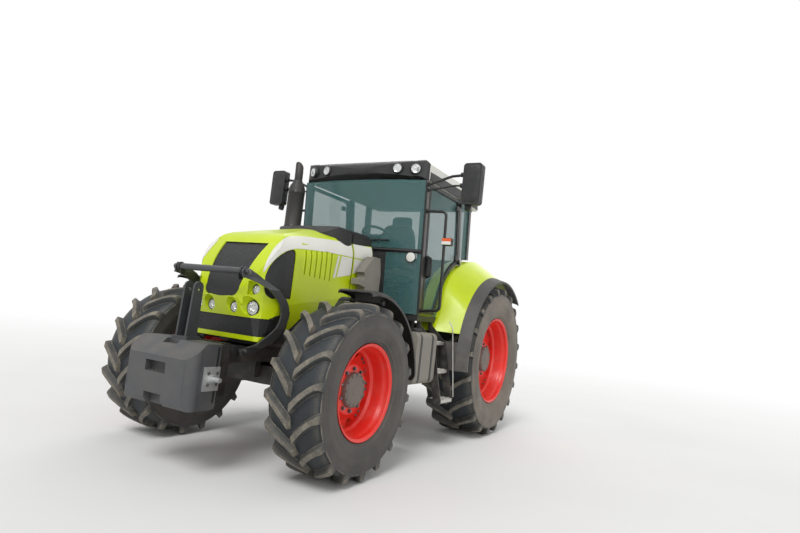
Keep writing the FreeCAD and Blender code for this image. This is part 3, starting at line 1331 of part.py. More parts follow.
def mirrors():
    """Mirror housing on a tube arm from the front pillar's head."""
    start = CAB_HALF + 8.0
    body = rounded_block(1402.0, 1492.0, 1182.0, 1380.0, 2490.0, 2912.0, 34.0, "x")
    arm = rod([(pillar_x(2700.0), start, 2700.0), (1440.0, 1040.0, 2792.0), (1450.0, 1200.0, 2800.0)], 14.0, 60.0)
    stay = rod([(pillar_x(2640.0), start, 2640.0), (1445.0, 1060.0, 2690.0), (1450.0, 1200.0, 2690.0)], 10.0, 60.0)
    feet = [pillar_foot(2700.0, 24.0), pillar_foot(2640.0, 20.0)]
    return both_sides(fuse([body, arm, stay] + feet).removeSplitter())


def handrails():
    start = CAB_HALF + 8.0
    rail = rod([
        (pillar_x(2420.0), start, 2420.0), (1500.0, 1045.0, 2405.0), (1428.0, 1045.0, 1400.0),
        (pillar_x(1380.0), start, 1380.0),
    ], 15.0, 50.0)
    return both_sides(fuse([rail, pillar_foot(2420.0, 26.0), pillar_foot(1380.0, 26.0)]))


def side_lamps():
    lamp = rounded_block(1448.0, 1508.0, 1045.0 + 15.0 + SEAT, 1102.0, 2066.0, 2134.0, 14.0, "y")
    return both_sides(lamp)


def exhaust():
    """Silencer shield on an elbow from the hood's rear panel, with a bent outlet."""
    x = 1886.0
    y = 620.0
    elbow = rod([(x, 380.0, 1908.0), (x, y, 1908.0), (x, y, 2090.0)], 50.0, 90.0)
    elbow = elbow.cut(hood_form(-SEAT, HOOD_REAR))
    shield = cylinder((x, y, 2075.0), (x, y, 2640.0), 90.0)
    outlet = rod([(x, y, 2630.0), (x, y, 2740.0), (x - 46.0, y + 40.0, 2850.0)], 60.0, 130.0)
    return mirror_y(fuse([elbow, shield, outlet]).removeSplitter())


def loader_brackets():
    """Cast mounts for a loader on both sides of the engine."""
    mount = side_prism([
        (1830.0, 1100.0), (2060.0, 1100.0), (2075.0, 1540.0), (2190.0, 1560.0), (2185.0, 1610.0), (2030.0, 1790.0),
        (1960.0, 1850.0), (1850.0, 1850.0), (1815.0, 1700.0), (1815.0, 1200.0),
    ], 452.0, 540.0)
    notch = cylinder((2140.0, 440.0, 1640.0), (2140.0, 560.0, 1640.0), 45.0)
    foot = block(1850.0, 1990.0, ENGINE_HALF + SEAT, 460.0, 1110.0, 1240.0)
    return both_sides(fuse([mount.cut(notch), foot]).removeSplitter())


def hitch_arms():
    """Lift arms on their cross shaft above the axle housing."""
    px, _, pz = ARM_PIVOT
    tx, ty, tz = ARM_TIP
    shaft = cylinder((px, -310.0, pz), (px, 310.0, pz), LIFT_SHAFT_RADIUS)
    arms = []
    for _, sign in SIDES:
        arm = side_prism([
            (px + 30.0, pz - 62.0), (px + 62.0, pz), (px, pz + 66.0), (tx - 20.0, tz + 34.0), (tx - 44.0, tz),
            (tx - 10.0, tz - 36.0),
        ], 302.0, 334.0)
        arms.append(on_side(arm.cut(cylinder((tx, 280.0, tz), (tx, 360.0, tz), ROD_PIN_RADIUS)), sign))
    return fuse([shaft] + arms).removeSplitter()


def hitch_towers():
    """Bearing blocks of the lift shaft, on the rear of the axle housing."""
    px, _, pz = ARM_PIVOT
    towers = []
    for _, sign in SIDES:
        tower = side_prism([
            (px - 90.0, 1110.0 + SEAT), (px + 110.0, 1110.0 + SEAT), (px + 66.0, pz + 60.0), (px - 66.0, pz + 60.0),
        ], 150.0, 250.0)
        bore = cylinder((px, 100.0, pz), (px, 300.0, pz), LIFT_SHAFT_RADIUS + RUNNING)
        towers.append(on_side(tower.cut(bore), sign))
    return Part.makeCompound([solid for tower in towers for solid in solids_of(tower)])


def lift_rods():
    """Rod from the lift arm's tip down to beside the lower link."""
    tx, ty, tz = ARM_TIP
    fx, fy, fz = ROD_FOOT
    along = Vector(fx - tx, 0, fz - tz)
    head = cylinder((tx, ROD_Y - 9.0, tz), (tx, ROD_Y + 16.0, tz), 34.0)
    pin = cylinder((tx, 293.0, tz), (tx, ROD_Y, tz), ROD_PIN_RADIUS - RUNNING)
    keeper = cylinder((tx, 288.0, tz), (tx, 297.0, tz), 22.0)
    bar = cylinder((tx, ROD_Y + 1.0, tz), (fx, ROD_Y + 1.0, fz), 16.0)
    sleeve = cylinder((tx + along.x * 0.3, ROD_Y + 1.0, tz + along.z * 0.3),
                      (tx + along.x * 0.62, ROD_Y + 1.0, tz + along.z * 0.62), 28.0)
    foot = cylinder((fx, ROD_Y - 8.0, fz), (fx, ROD_Y + 10.0, fz), 34.0)
    hole = cylinder((fx, ROD_Y - 60.0, fz), (fx, ROD_Y + 60.0, fz), 14.0)
    return both_sides(fuse([head, pin, keeper, bar, sleeve, foot]).cut(hole))


def drawbar():
    """Drawbar under the gearbox with a bored end."""
    bar = block(-640.0, 200.0, -45.0, 45.0, 430.0, 470.0)
    hanger = block(-230.0, -110.0, -90.0, 90.0, 470.0, 560.0)
    hanger = hanger.fuse(block(60.0, 180.0, -90.0, 90.0, 470.0, 560.0))
    bore = cylinder((-590.0, 0, 400.0), (-590.0, 0, 500.0), 16.5)
    return bar.fuse(hanger).cut(bore).removeSplitter()


def hitch_brackets():
    return together(hitch_towers(), link_pins())


def power_shaft():
    """Splined stub of the power take-off, with its guard plate."""
    x = GEARBOX_REAR - SEAT
    flange = cylinder((x, 0, SHAFT_Z), (x - 22.0, 0, SHAFT_Z), 62.0)
    stub = cylinder((x - 20.0, 0, SHAFT_Z), (x - 110.0, 0, SHAFT_Z), SHAFT_RADIUS)
    return flange.fuse(stub)


# Export

PIECES = {
    "front_axle": front_axle, "front_frame": front_frame, "engine_block": engine_block,
    "cooling_pack": cooling_pack, "transmission": transmission, "rear_axle": rear_axle,
    "hood": hood, "hood_cap": hood_cap, "hood_grilles": hood_grilles, "headlamps": headlamps,
    "hood_rear_panel": hood_rear_panel, "scuttle": scuttle, "guard": guard,
    "ballast_carrier": ballast_carrier, "ballast": ballast, "ballast_fittings": ballast_fittings,
    "cab_pillars": cab_pillars, "cab_windows": cab_windows, "cab_panels": cab_panels,
    "cab_floor": cab_floor, "door_hinges": door_hinges, "roof": roof, "visor": visor, "cab_lamps": cab_lamps,
    "seat": seat, "dash": dash, "steering_wheel": steering_wheel, "exhaust": exhaust,
    "loader_brackets": loader_brackets, "rear_fenders": rear_fenders, "fender_extensions": fender_extensions,
    "tanks": tanks, "steps": steps, "mirrors": mirrors, "handrails": handrails, "lift_arms": hitch_arms,
    "lift_rods": lift_rods, "lower_links": lower_links, "hitch_brackets": hitch_brackets, "drawbar": drawbar,
    "power_shaft": power_shaft,
}
SIDE_PIECES = {
    "knuckle": knuckle, "front_fender": front_fender, "door_frame": door_frame, "door_glass": door_glass,
}


def export(name, shape):
    moved = shape.copy()
    moved.translate(Vector(-X_MIDDLE, 0, 0))
    moved.exportStep(os.path.join("parts", name + ".step"))


def main():
    os.makedirs("parts", exist_ok=True)
    for name, make in PIECES.items():
        export(name, make())
    for name, make in SIDE_PIECES.items():
        for side, sign in SIDES:
            export(name + "_" + side, make(sign))
    for end, wheel in WHEELS.items():
        shapes = {"tyre": tyre(wheel), "rim": together(rim(wheel), hub(wheel))}
        for name, shape in shapes.items():
            for side, sign in SIDES:
                export("_".join((end, name, side)), place_wheel(shape, wheel, sign))


if __name__ == "__main__":
    main()
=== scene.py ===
import bpy
import bmesh
import json
import math
from mathutils import Matrix, Vector
from mathutils.bvhtree import BVHTree


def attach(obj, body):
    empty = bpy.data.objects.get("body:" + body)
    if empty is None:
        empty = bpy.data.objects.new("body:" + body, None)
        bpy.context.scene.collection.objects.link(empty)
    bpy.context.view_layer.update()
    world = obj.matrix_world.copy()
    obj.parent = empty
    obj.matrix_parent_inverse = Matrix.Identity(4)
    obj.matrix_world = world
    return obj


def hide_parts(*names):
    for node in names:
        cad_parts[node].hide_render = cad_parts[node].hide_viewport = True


# Farm tractor, dressed for rendering. Lengths are metres. Places are given as at(x, y, z): x forward
# from the rear axle, y to the tractor's left, z up from the ground. The frame's own x starts at
# another place, so at() shifts it. A finish is named by its row in FINISHES.

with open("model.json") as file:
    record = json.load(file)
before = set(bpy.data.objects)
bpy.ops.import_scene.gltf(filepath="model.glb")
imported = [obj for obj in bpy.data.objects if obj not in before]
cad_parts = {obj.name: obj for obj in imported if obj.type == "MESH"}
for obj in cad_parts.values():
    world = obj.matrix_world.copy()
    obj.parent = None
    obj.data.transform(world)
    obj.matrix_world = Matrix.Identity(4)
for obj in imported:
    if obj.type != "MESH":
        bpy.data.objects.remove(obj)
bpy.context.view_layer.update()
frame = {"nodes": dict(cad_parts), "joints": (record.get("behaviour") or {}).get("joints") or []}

JOINTS = {joint["name"]: Vector(joint["pos_m"]) for joint in frame["joints"]}
REAR_AXLE = JOINTS["spin_rear_left"]
SIDES = (("left", 1.0), ("right", -1.0))
X = (1, 0, 0)
Y = (0, 1, 0)
Z = (0, 0, 1)
FULL_TURN = 2.0 * math.pi


def at(x, y, z):
    return Vector((x + REAR_AXLE.x, y, z))


# Camera, from the photograph's viewpoint

CAMERA_PLACE = (6.5271, 3.4346, 1.3242)
CAMERA_YAW = math.radians(209.643)
CAMERA_PITCH = math.radians(4.881)
CAMERA_ROLL = math.radians(6.361)
CAMERA_LENS = 24.85


def make_camera():
    forward = Vector((
        math.cos(CAMERA_PITCH) * math.cos(CAMERA_YAW), math.cos(CAMERA_PITCH) * math.sin(CAMERA_YAW),
        math.sin(CAMERA_PITCH),
    ))
    level = forward.cross(Vector(Z)).normalized()
    upright = level.cross(forward)
    right = math.cos(CAMERA_ROLL) * level + math.sin(CAMERA_ROLL) * upright
    up = math.cos(CAMERA_ROLL) * upright - math.sin(CAMERA_ROLL) * level
    data = bpy.data.cameras.new("camera")
    data.lens = CAMERA_LENS
    data.sensor_width = 36.0
    data.clip_start = 0.05
    data.clip_end = 200.0
    camera = bpy.data.objects.new("camera", data)
    turn = Matrix((right, up, -forward)).transposed()
    camera.matrix_world = Matrix.Translation(at(*CAMERA_PLACE)) @ turn.to_4x4()
    bpy.context.scene.collection.objects.link(camera)
    bpy.context.scene.camera = camera


# Materials


def linear(red, green, blue):
    """Colour written as 0 to 255 in the photograph's terms, as the shader wants it."""
    values = []
    for value in (red, green, blue):
        share = value / 255.0
        values.append(share / 12.92 if share <= 0.04045 else ((share + 0.055) / 1.055) ** 2.4)
    return (*values, 1.0)


DUST = linear(150, 140, 124)
SOIL = linear(146, 138, 124)


class Nodes:
    """Short names for the few shader nodes that the materials are made of."""

    def __init__(self, name):
        self.material = bpy.data.materials.new(name)
        self.material.use_nodes = True
        self.tree = self.material.node_tree
        self.shader = self.tree.nodes["Principled BSDF"]
        self.place = self.tree.nodes.new("ShaderNodeTexCoord").outputs["Object"]

    def link(self, source, target):
        self.tree.links.new(source, target)

    def set(self, socket, value):
        self.shader.inputs[socket].default_value = value

    def noise(self, scale, detail=4.0, stretch=None):
        node = self.tree.nodes.new("ShaderNodeTexNoise")
        node.inputs["Scale"].default_value = scale
        node.inputs["Detail"].default_value = detail
        place = self.place
        if stretch:
            mapping = self.tree.nodes.new("ShaderNodeMapping")
            mapping.inputs["Scale"].default_value = stretch
            self.link(place, mapping.inputs["Vector"])
            place = mapping.outputs["Vector"]
        self.link(place, node.inputs["Vector"])
        return node.outputs["Fac"]

    def cells(self, scale):
        node = self.tree.nodes.new("ShaderNodeTexVoronoi")
        node.inputs["Scale"].default_value = scale
        self.link(self.place, node.inputs["Vector"])
        return node.outputs["Distance"]

    def wave(self, direction, scale):
        node = self.tree.nodes.new("ShaderNodeTexWave")
        node.bands_direction = direction
        node.inputs["Scale"].default_value = scale
        self.link(self.place, node.inputs["Vector"])
        return node.outputs["Fac"]

    def spread(self, value, low, high, start=0.0, end=1.0):
        node = self.tree.nodes.new("ShaderNodeMapRange")
        for socket, setting in (("From Min", low), ("From Max", high), ("To Min", start), ("To Max", end)):
            node.inputs[socket].default_value = setting
        self.link(value, node.inputs["Value"])
        return node.outputs["Result"]

    def maths(self, operation, first, second):
        node = self.tree.nodes.new("ShaderNodeMath")
        node.operation = operation
        for socket, value in zip(node.inputs, (first, second)):
            if isinstance(value, (int, float)):
                socket.default_value = value
            else:
                self.link(value, socket)
        return node.outputs["Value"]

    def times(self, first, second):
        return self.maths("MULTIPLY", first, second)

    def mix(self, share, first, second):
        node = self.tree.nodes.new("ShaderNodeMix")
        node.data_type = "RGBA"
        for socket, value in ((node.inputs["Factor"], share), (node.inputs[6], first), (node.inputs[7], second)):
            if isinstance(value, (int, float, tuple)):
                socket.default_value = value
            else:
                self.link(value, socket)
        return node.outputs[2]

    def upward(self, source):
        """The vertical part of a vector."""
        split = self.tree.nodes.new("ShaderNodeSeparateXYZ")
        self.link(source, split.inputs["Vector"])
        return split.outputs["Z"]

    def facing_up(self):
        return self.upward(self.tree.nodes.new("ShaderNodeNewGeometry").outputs["Normal"])

    def height(self):
        return self.upward(self.place)

    def edges(self):
        return self.tree.nodes.new("ShaderNodeNewGeometry").outputs["Pointiness"]

    def colour(self, value):
        self.link(value, self.shader.inputs["Base Color"])

    def roughness(self, value):
        self.link(value, self.shader.inputs["Roughness"])

    def bump(self, value, strength, distance):
        node = self.tree.nodes.new("ShaderNodeBump")
        node.inputs["Strength"].default_value = strength
        node.inputs["Distance"].default_value = distance
        self.link(value, node.inputs["Height"])
        self.link(node.outputs["Normal"], self.shader.inputs["Normal"])

    def dusty(self, base, film, place, amount):
        """Base colour under a film of dust. Gives the share that the dust covers."""
        share = self.times(self.times(film, place), amount)
        self.colour(self.mix(share, base, DUST))
        return share


def painted(name, colour, dark, gloss, dust, coat):
    """Glossy paint with slight mottling and a film of field dust that is thicker low down."""
    nodes = Nodes(name)
    base = nodes.mix(nodes.spread(nodes.noise(3.0, 5.0), 0.35, 0.7), colour, dark)
    film = nodes.spread(nodes.noise(9.0, 8.0), 0.42, 0.75)
    share = nodes.dusty(base, film, nodes.spread(nodes.height(), 1.5, 0.3, 0.15, 1.0), dust)
    nodes.roughness(nodes.spread(share, 0.0, 0.6, gloss, 0.75))
    nodes.bump(nodes.noise(140.0, 2.0), 0.04, 0.002)
    nodes.set("Coat Weight", coat)
    nodes.set("Coat Roughness", 0.12)
    return nodes.material


def moulded(name, colour, light, roughness, grain, dust, strength):
    """Grained plastic with scuffs and dust."""
    nodes = Nodes(name)
    scuff = nodes.spread(nodes.noise(14.0, 9.0), 0.45, 0.75)
    base = nodes.mix(nodes.times(scuff, 0.6), colour, light)
    film = nodes.spread(nodes.noise(5.0, 7.0), 0.4, 0.72)
    nodes.dusty(base, film, nodes.spread(nodes.height(), 1.6, 0.3, 0.1, 1.0), dust)
    nodes.roughness(nodes.spread(scuff, 0.0, 1.0, roughness, roughness + 0.2))
    nodes.bump(nodes.noise(grain, 2.0), strength, 0.001)
    return nodes.material


def cast(name, colour, light, dust):
    """Painted casting with an orange-peel skin and dusty patches, most of them on its top faces."""
    nodes = Nodes(name)
    patch = nodes.spread(nodes.noise(2.5, 6.0), 0.40, 0.68)
    base = nodes.mix(nodes.times(patch, 0.7), colour, light)
    film = nodes.spread(nodes.noise(5.0, 10.0), 0.40, 0.80)
    nodes.dusty(base, film, nodes.spread(nodes.facing_up(), 0.0, 0.9, 0.3, 1.0), dust)
    nodes.roughness(nodes.spread(patch, 0.0, 1.0, 0.45, 0.75))
    skin = nodes.maths("ADD", nodes.noise(230.0, 3.0), nodes.times(nodes.noise(40.0, 4.0), 0.8))
    nodes.bump(skin, 0.35, 0.0012)
    return nodes.material


def tread_rubber(name, casing, radius, wall_dark, wall_light):
    """Rubber: grey-brown sidewalls, blue-black floors between the lugs, and dry soil on their tops and edges."""
    nodes = Nodes(name)
    wheel = nodes.tree.nodes.new("ShaderNodeAttribute")
    wheel.attribute_name = "reach"
    reach = wheel.outputs["Fac"]
    patches = nodes.spread(nodes.noise(14.0, 9.0), 0.36, 0.66)
    fine = nodes.spread(nodes.noise(90.0, 7.0), 0.35, 0.68)
    floor = nodes.mix(fine, linear(30, 35, 39), linear(42, 47, 50))
    cloudy = nodes.spread(nodes.noise(3.5, 8.0), 0.38, 0.66)
    wall = nodes.mix(nodes.maths("ADD", nodes.times(cloudy, 0.75), nodes.times(fine, 0.25)), wall_dark, wall_light)
    base = nodes.mix(nodes.spread(reach, casing - 0.030, casing - 0.062), floor, wall)
    tops = nodes.spread(reach, radius - 0.012, radius - 0.003, 0.0, 0.42)
    worn = nodes.spread(nodes.edges(), 0.512, 0.57)
    crust = nodes.times(nodes.maths("MAXIMUM", tops, worn), nodes.spread(patches, 0.0, 1.0, 0.45, 1.0))
    nodes.colour(nodes.mix(nodes.times(crust, nodes.spread(fine, 0.0, 1.0, 0.6, 1.0)), base, SOIL))
    nodes.roughness(nodes.spread(crust, 0.0, 1.0, 0.58, 0.9))
    nodes.bump(nodes.maths("ADD", fine, patches), 0.22, 0.002)
    return nodes.material


def glass(name, tint, alpha):
    nodes = Nodes(name)
    film = nodes.spread(nodes.noise(6.0, 7.0), 0.4, 0.8, 0.0, 0.10)
    nodes.colour(nodes.mix(film, tint, DUST))
    nodes.roughness(nodes.spread(film, 0.0, 0.1, 0.02, 0.12))
    nodes.set("Alpha", alpha)
    nodes.set("IOR", 1.5)
    return nodes.material


def lamp_glass(name, tint, alpha):
    """Fluted lens: fine ribs in the bump."""
    nodes = Nodes(name)
    nodes.bump(nodes.wave("Y", 26.0), 0.3, 0.002)
    nodes.set("Base Color", tint)
    nodes.set("Roughness", 0.06)
    nodes.set("Alpha", alpha)
    return nodes.material


def metal(name, colour, roughness, tarnish):
    nodes = Nodes(name)
    patch = nodes.spread(nodes.noise(18.0, 8.0), 0.45, 0.75)
    nodes.colour(nodes.mix(nodes.times(patch, 0.5), colour, tarnish))
    nodes.roughness(nodes.spread(patch, 0.0, 1.0, roughness, roughness + 0.3))
    nodes.bump(nodes.noise(90.0, 3.0, (1.0, 1.0, 6.0)), 0.08, 0.001)
    nodes.set("Metallic", 0.9)
    return nodes.material


def fitting_metal(name, bright, dark):
    """Zinc low down, and dark paint on the mast that stands above the weight."""
    nodes = Nodes(name)
    mast = nodes.spread(nodes.height(), 0.90, 0.92)
    patch = nodes.spread(nodes.noise(18.0, 8.0), 0.45, 0.75)
    zinc = nodes.mix(nodes.times(patch, 0.4), bright, linear(150, 146, 140))
    nodes.colour(nodes.mix(mast, zinc, dark))
    nodes.link(nodes.spread(nodes.height(), 0.90, 0.92, 0.75, 0.0), nodes.shader.inputs["Metallic"])
    nodes.roughness(nodes.spread(patch, 0.0, 1.0, 0.42, 0.62))
    nodes.bump(nodes.noise(90.0, 3.0), 0.08, 0.001)
    return nodes.material


def mirror_glass(name, silver):
    nodes = Nodes(name)
    film = nodes.spread(nodes.noise(12.0, 6.0), 0.45, 0.8, 0.02, 0.16)
    nodes.colour(nodes.mix(film, silver, DUST))
    nodes.roughness(film)
    nodes.set("Metallic", 1.0)
    return nodes.material


def mesh_panel(name, wire, painted_hole_shade):
    """Fine expanded mesh: a dull sheet with rows of holes, whose near-black colour is painted shade for the dark
    space seen through them.
    """
    nodes = Nodes(name)
    share = nodes.spread(nodes.cells(150.0), 0.25, 0.45)
    # The holes' near-black colour is painted shade, not a see-through opening.
    nodes.colour(nodes.mix(share, painted_hole_shade, wire))
    nodes.roughness(nodes.spread(share, 0.0, 1.0, 0.9, 0.45))
    nodes.bump(share, 0.5, 0.003)
    return nodes.material


def cloth(name, colour, light):
    """Woven seat cloth: crossing bands in the bump and the colour."""
    nodes = Nodes(name)
    both = nodes.times(nodes.wave("X", 220.0), nodes.wave("Z", 220.0))
    nodes.colour(nodes.mix(nodes.maths("ADD", both, nodes.times(nodes.noise(20.0), 0.4)), colour, light))
    nodes.bump(both, 0.5, 0.001)
    nodes.set("Roughness", 0.9)
    nodes.set("Sheen Weight", 0.3)
    return nodes.material


FINISHES = (
    # name, kind, what the kind takes, with its colours as 0 to 255
    ("green_paint", painted, (196, 216, 0), (186, 206, 0), 0.34, 0.06, 0.12),
    ("red_paint", painted, (232, 46, 34), (220, 38, 28), 0.36, 0.18, 0.15),
    ("white_paint", painted, (226, 225, 218), (214, 213, 205), 0.36, 0.12, 0.15),
    ("dark_paint", painted, (34, 35, 36), (26, 27, 28), 0.45, 0.22, 0.1),
    ("frame_paint", painted, (58, 58, 57), (46, 46, 45), 0.55, 0.30, 0.05),
    ("bracket_paint", painted, (122, 117, 109), (106, 102, 95), 0.5, 0.3, 0.05),
    ("step_dark", painted, (40, 39, 38), (32, 31, 30), 0.5, 0.35, 0.05),
    ("guard_paint", painted, (62, 64, 66), (50, 52, 54), 0.42, 0.25, 0.1),
    ("pillar_paint", painted, (54, 49, 45), (40, 37, 34), 0.30, 0.2, 0.3),
    ("exhaust_black", painted, (30, 29, 29), (44, 40, 38), 0.55, 0.2, 0.0),
    ("cast_grey", cast, (70, 71, 73), (78, 78, 78), 0.35),
    ("hub_grey", cast, (108, 102, 96), (118, 111, 104), 0.4),
    ("fittings", fitting_metal, (196, 198, 198), (58, 60, 62)),
    ("steel", metal, (120, 120, 120), 0.35, (84, 76, 68)),
    ("tread_metal", metal, (196, 194, 188), 0.45, (150, 142, 130)),
    ("chrome", metal, (226, 226, 226), 0.08, (180, 178, 172)),
    ("black", moulded, (26, 27, 28), (52, 52, 52), 0.42, 300.0, 0.15, 0.12),
    ("dark_plastic", moulded, (40, 41, 42), (60, 60, 60), 0.48, 420.0, 0.25, 0.06),
    ("cap_black", moulded, (17, 16, 15), (30, 29, 27), 0.5, 300.0, 0.1, 0.08),
    ("extension_plastic", moulded, (72, 71, 70), (90, 87, 83), 0.6, 380.0, 0.45, 0.3),
    ("blade_plastic", moulded, (36, 35, 33), (52, 50, 47), 0.38, 380.0, 0.35, 0.15),
    ("tank_plastic", moulded, (128, 124, 117), (142, 137, 128), 0.6, 300.0, 0.4, 0.25),
    ("console_grey", moulded, (92, 92, 90), (112, 110, 106), 0.6, 420.0, 0.1, 0.08),
    ("rubber", moulded, (30, 30, 30), (46, 45, 44), 0.7, 200.0, 0.3, 0.06),
    ("soft_grip", moulded, (30, 30, 31), (46, 46, 46), 0.5, 500.0, 0.0, 0.35),
    # mesh_dark: the second colour is painted shade, for the holes.
    ("mesh_dark", mesh_panel, (30, 31, 32), (6, 6, 7)),
    ("seat_cloth", cloth, (70, 72, 74), (104, 104, 102)),
    ("tinted_glass", glass, (86, 134, 134), 0.33),
    ("mirror", mirror_glass, (206, 210, 212)),
    ("lamp_clear", lamp_glass, (243.445, 246.987, 249.311), 0.22),
    ("orange", lamp_glass, (226, 92, 34), 1.0),
    ("white_lens", lamp_glass, (226, 224, 216), 1.0),
    ("red_lens", lamp_glass, (190, 14, 12), 1.0),
    ("tyre_front", tread_rubber, 0.646, 0.691, (56, 54, 51), (80, 76, 71)),
    ("tyre_rear", tread_rubber, 0.839, 0.889, (86, 80, 72), (122, 113, 101)),
)
NODE_FINISH = (
    # finish, CAD nodes that wear it
    ("green_paint", ("hood", "hood_rear_panel", "rear_fenders")),
    ("cap_black", ("hood_cap", "scuttle")),
    ("mesh_dark", ("hood_grilles",)),
    ("dark_plastic", ("cab_panels", "dash", "steering_wheel")),
    ("black", ("visor", "mirrors", "door_frame_left", "door_frame_right", "handrails", "door_hinges")),
    ("pillar_paint", ("cab_pillars",)),
    ("white_paint", ("roof",)),
    ("frame_paint", ("front_axle", "front_frame", "transmission", "rear_axle", "knuckle_left", "knuckle_right")),
    ("dark_paint", ("engine_block", "cooling_pack", "ballast_carrier", "cab_floor", "lift_arms", "lift_rods",
                    "lower_links", "hitch_brackets", "drawbar")),
    ("guard_paint", ("guard",)),
    ("bracket_paint", ("loader_brackets",)),
    ("step_dark", ("steps",)),
    ("cast_grey", ("ballast",)),
    ("fittings", ("ballast_fittings",)),
    ("lamp_clear", ("headlamps", "cab_lamps")),
    ("tinted_glass", ("cab_windows", "door_glass_left", "door_glass_right")),
    ("seat_cloth", ("seat",)),
    ("exhaust_black", ("exhaust",)),
    ("steel", ("power_shaft",)),
    ("extension_plastic", ("fender_extensions",)),
    ("blade_plastic", ("front_fender_left", "front_fender_right")),
    ("tank_plastic", ("tanks",)),
    ("red_paint", ("front_rim_left", "front_rim_right", "rear_rim_left", "rear_rim_right")),
    ("rubber", ("front_tyre_left", "front_tyre_right", "rear_tyre_left", "rear_tyre_right")),
)
materials = {}


def make_materials():
    for name, kind, *values in FINISHES:
        settings = [linear(*value) if isinstance(value, tuple) else value for value in values]
        materials[name] = kind(name, *settings)


def dress_nodes():
    for finish, names in NODE_FINISH:
        for name in names:
            for slot in frame["nodes"][name].material_slots:
                slot.material = materials[finish]


# Shapes


def grid_faces(rows, columns, rows_meet=False, columns_meet=False):
    """Quads between points that are stored row by row. Either direction may close on itself."""
    faces = []
    for row in range(rows if rows_meet else rows - 1):
        below = (row + 1) % rows * columns
        for column in range(columns if columns_meet else columns - 1):
            after = (column + 1) % columns
            faces.append((row * columns + column, row * columns + after, below + after, below + column))
    return faces


def loft_data(rings):
    """Skin over closed rings of points, with an end face on the first ring and on the last."""
    size = len(rings[0])
    last = (len(rings) - 1) * size
    faces = [list(range(size)), [last + step for step in reversed(range(size))]]
    faces += grid_faces(len(rings), size, columns_meet=True)
    return [point for ring in rings for point in ring], faces


def add_piece(name, data, finish, body, sharp):
    """Puts a mesh in the scene with outward normals and one finish, riding on a body."""
    shape = bmesh.new()
    shape.from_mesh(data)
    bmesh.ops.recalc_face_normals(shape, faces=shape.faces)
    shape.to_mesh(data)
    shape.free()
    data.shade_smooth()
    data.set_sharp_from_angle(angle=math.radians(sharp))
    data.materials.append(materials[finish])
    piece = bpy.data.objects.new(name, data)
    bpy.context.scene.collection.objects.link(piece)
    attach(piece, body)
    return piece


def mesh_piece(name, shape, finish, body="chassis", sharp=35.0):
    vertices, faces = shape
    data = bpy.data.meshes.new(name)
    data.from_pydata([tuple(vertex) for vertex in vertices], [], faces)
    return add_piece(name, data, finish, body, sharp)


def merged(name, parts, finish, body="chassis", sharp=35.0):
    """One mesh from several (vertices, faces) pairs."""
    vertices = []
    faces = []
    for more_vertices, more_faces in parts:
        start = len(vertices)
        vertices += more_vertices
        faces += [[index + start for index in face] for face in more_faces]
    return mesh_piece(name, (vertices, faces), finish, body, sharp)


def cross_frame(axis):
    """Two directions square to the axis and to each other."""
    helper = Vector(Z) if abs(axis.z) < 0.9 else Vector(X)
    side = axis.cross(helper).normalized()
    return side, axis.cross(side).normalized()


def outward(axis, turn):
    """Direction square to an axis, at an angle about it."""
    side, other = cross_frame(axis)
    return side * math.cos(turn) + other * math.sin(turn)


def lathe_data(outline, centre, axis, count, closed=False):
    """Form turned about an axis. The outline is (radius, distance along the axis)."""
    axis = Vector(axis).normalized()
    vertices = []
    for step in range(count):
        out = outward(axis, FULL_TURN * step / count)
        vertices += [centre + out * radius + axis * along for radius, along in outline]
    size = len(outline)
    faces = grid_faces(count, size, True, closed)
    if not closed:
        for row, radius in ((0, outline[0][0]), (size - 1, outline[-1][0])):
            if radius > 1e-6:
                faces.append([step * size + row for step in range(count)])
    return vertices, faces


def lathe(name, outline, centre, axis, finish, body="chassis", count=48, closed=False, sharp=35.0):
    return mesh_piece(name, lathe_data(outline, centre, axis, count, closed), finish, body, sharp)


def slab_data(outline, origin, u, v, depth):
    """Flat outline in the directions u and v from an origin, given depth along a third direction."""
    near = [origin + u * a + v * b for a, b in outline]
    return loft_data([near, [point + depth for point in near]])


def slab(name, outline, origin, u, v, depth, finish, body="chassis", rounding=0.002):
    """Flat piece with bevelled edges."""
    piece = mesh_piece(name, slab_data(outline, origin, Vector(u), Vector(v), Vector(depth)), finish, body)
    bevel = piece.modifiers.new("bevel", "BEVEL")
    bevel.width = rounding
    bevel.segments = 2
    bevel.limit_method = "ANGLE"
    bevel.angle_limit = math.radians(40.0)
    bevel.harden_normals = True
    return piece


def rounded_outline(width, height, radius, steps=6):
    """Rectangle round the origin with rounded corners."""
    points = []
    for cx, cy, start in ((1, 1, 0), (-1, 1, 90), (-1, -1, 180), (1, -1, 270)):
        for step in range(steps + 1):
            turn = math.radians(start + 90.0 * step / steps)
            points.append((cx * (width / 2 - radius) + radius * math.cos(turn),
                           cy * (height / 2 - radius) + radius * math.sin(turn)))
    return points


def rounded_path(points, radius, steps=8):
    """Open path with its inner corners rounded by the radius."""
    path = [points[0]]
    for before, corner, after in zip(points, points[1:], points[2:]):
        back = before - corner
        ahead = after - corner
        reach = min(radius, back.length * 0.49, ahead.length * 0.49)
        start = corner + back.normalized() * reach
        end = corner + ahead.normalized() * reach
        for step in range(steps + 1):
            share = step / steps
            path.append(start * (1 - share) ** 2 + corner * 2 * share * (1 - share) + end * share ** 2)
    path.append(points[-1])
    return path


def heading(path, index):
    """Direction of a path at one of its points."""
    return (path[min(index + 1, len(path) - 1)] - path[max(index - 1, 0)]).normalized()


def tube_data(path, radius, sides=14):
    """Round bar along a path, with closed ends. The radius may be one number or one for each point."""
    radii = radius if isinstance(radius, list) else [radius] * len(path)
    turns = [FULL_TURN * step / sides for step in range(sides)]
    rings = []
    side = cross_frame(heading(path, 0))[0]
    for index, point in enumerate(path):
        ahead = heading(path, index)
        side = (side - ahead * side.dot(ahead)).normalized()
        other = ahead.cross(side)
        rings.append([point + (side * math.cos(turn) + other * math.sin(turn)) * radii[index] for turn in turns])
    return loft_data(rings)


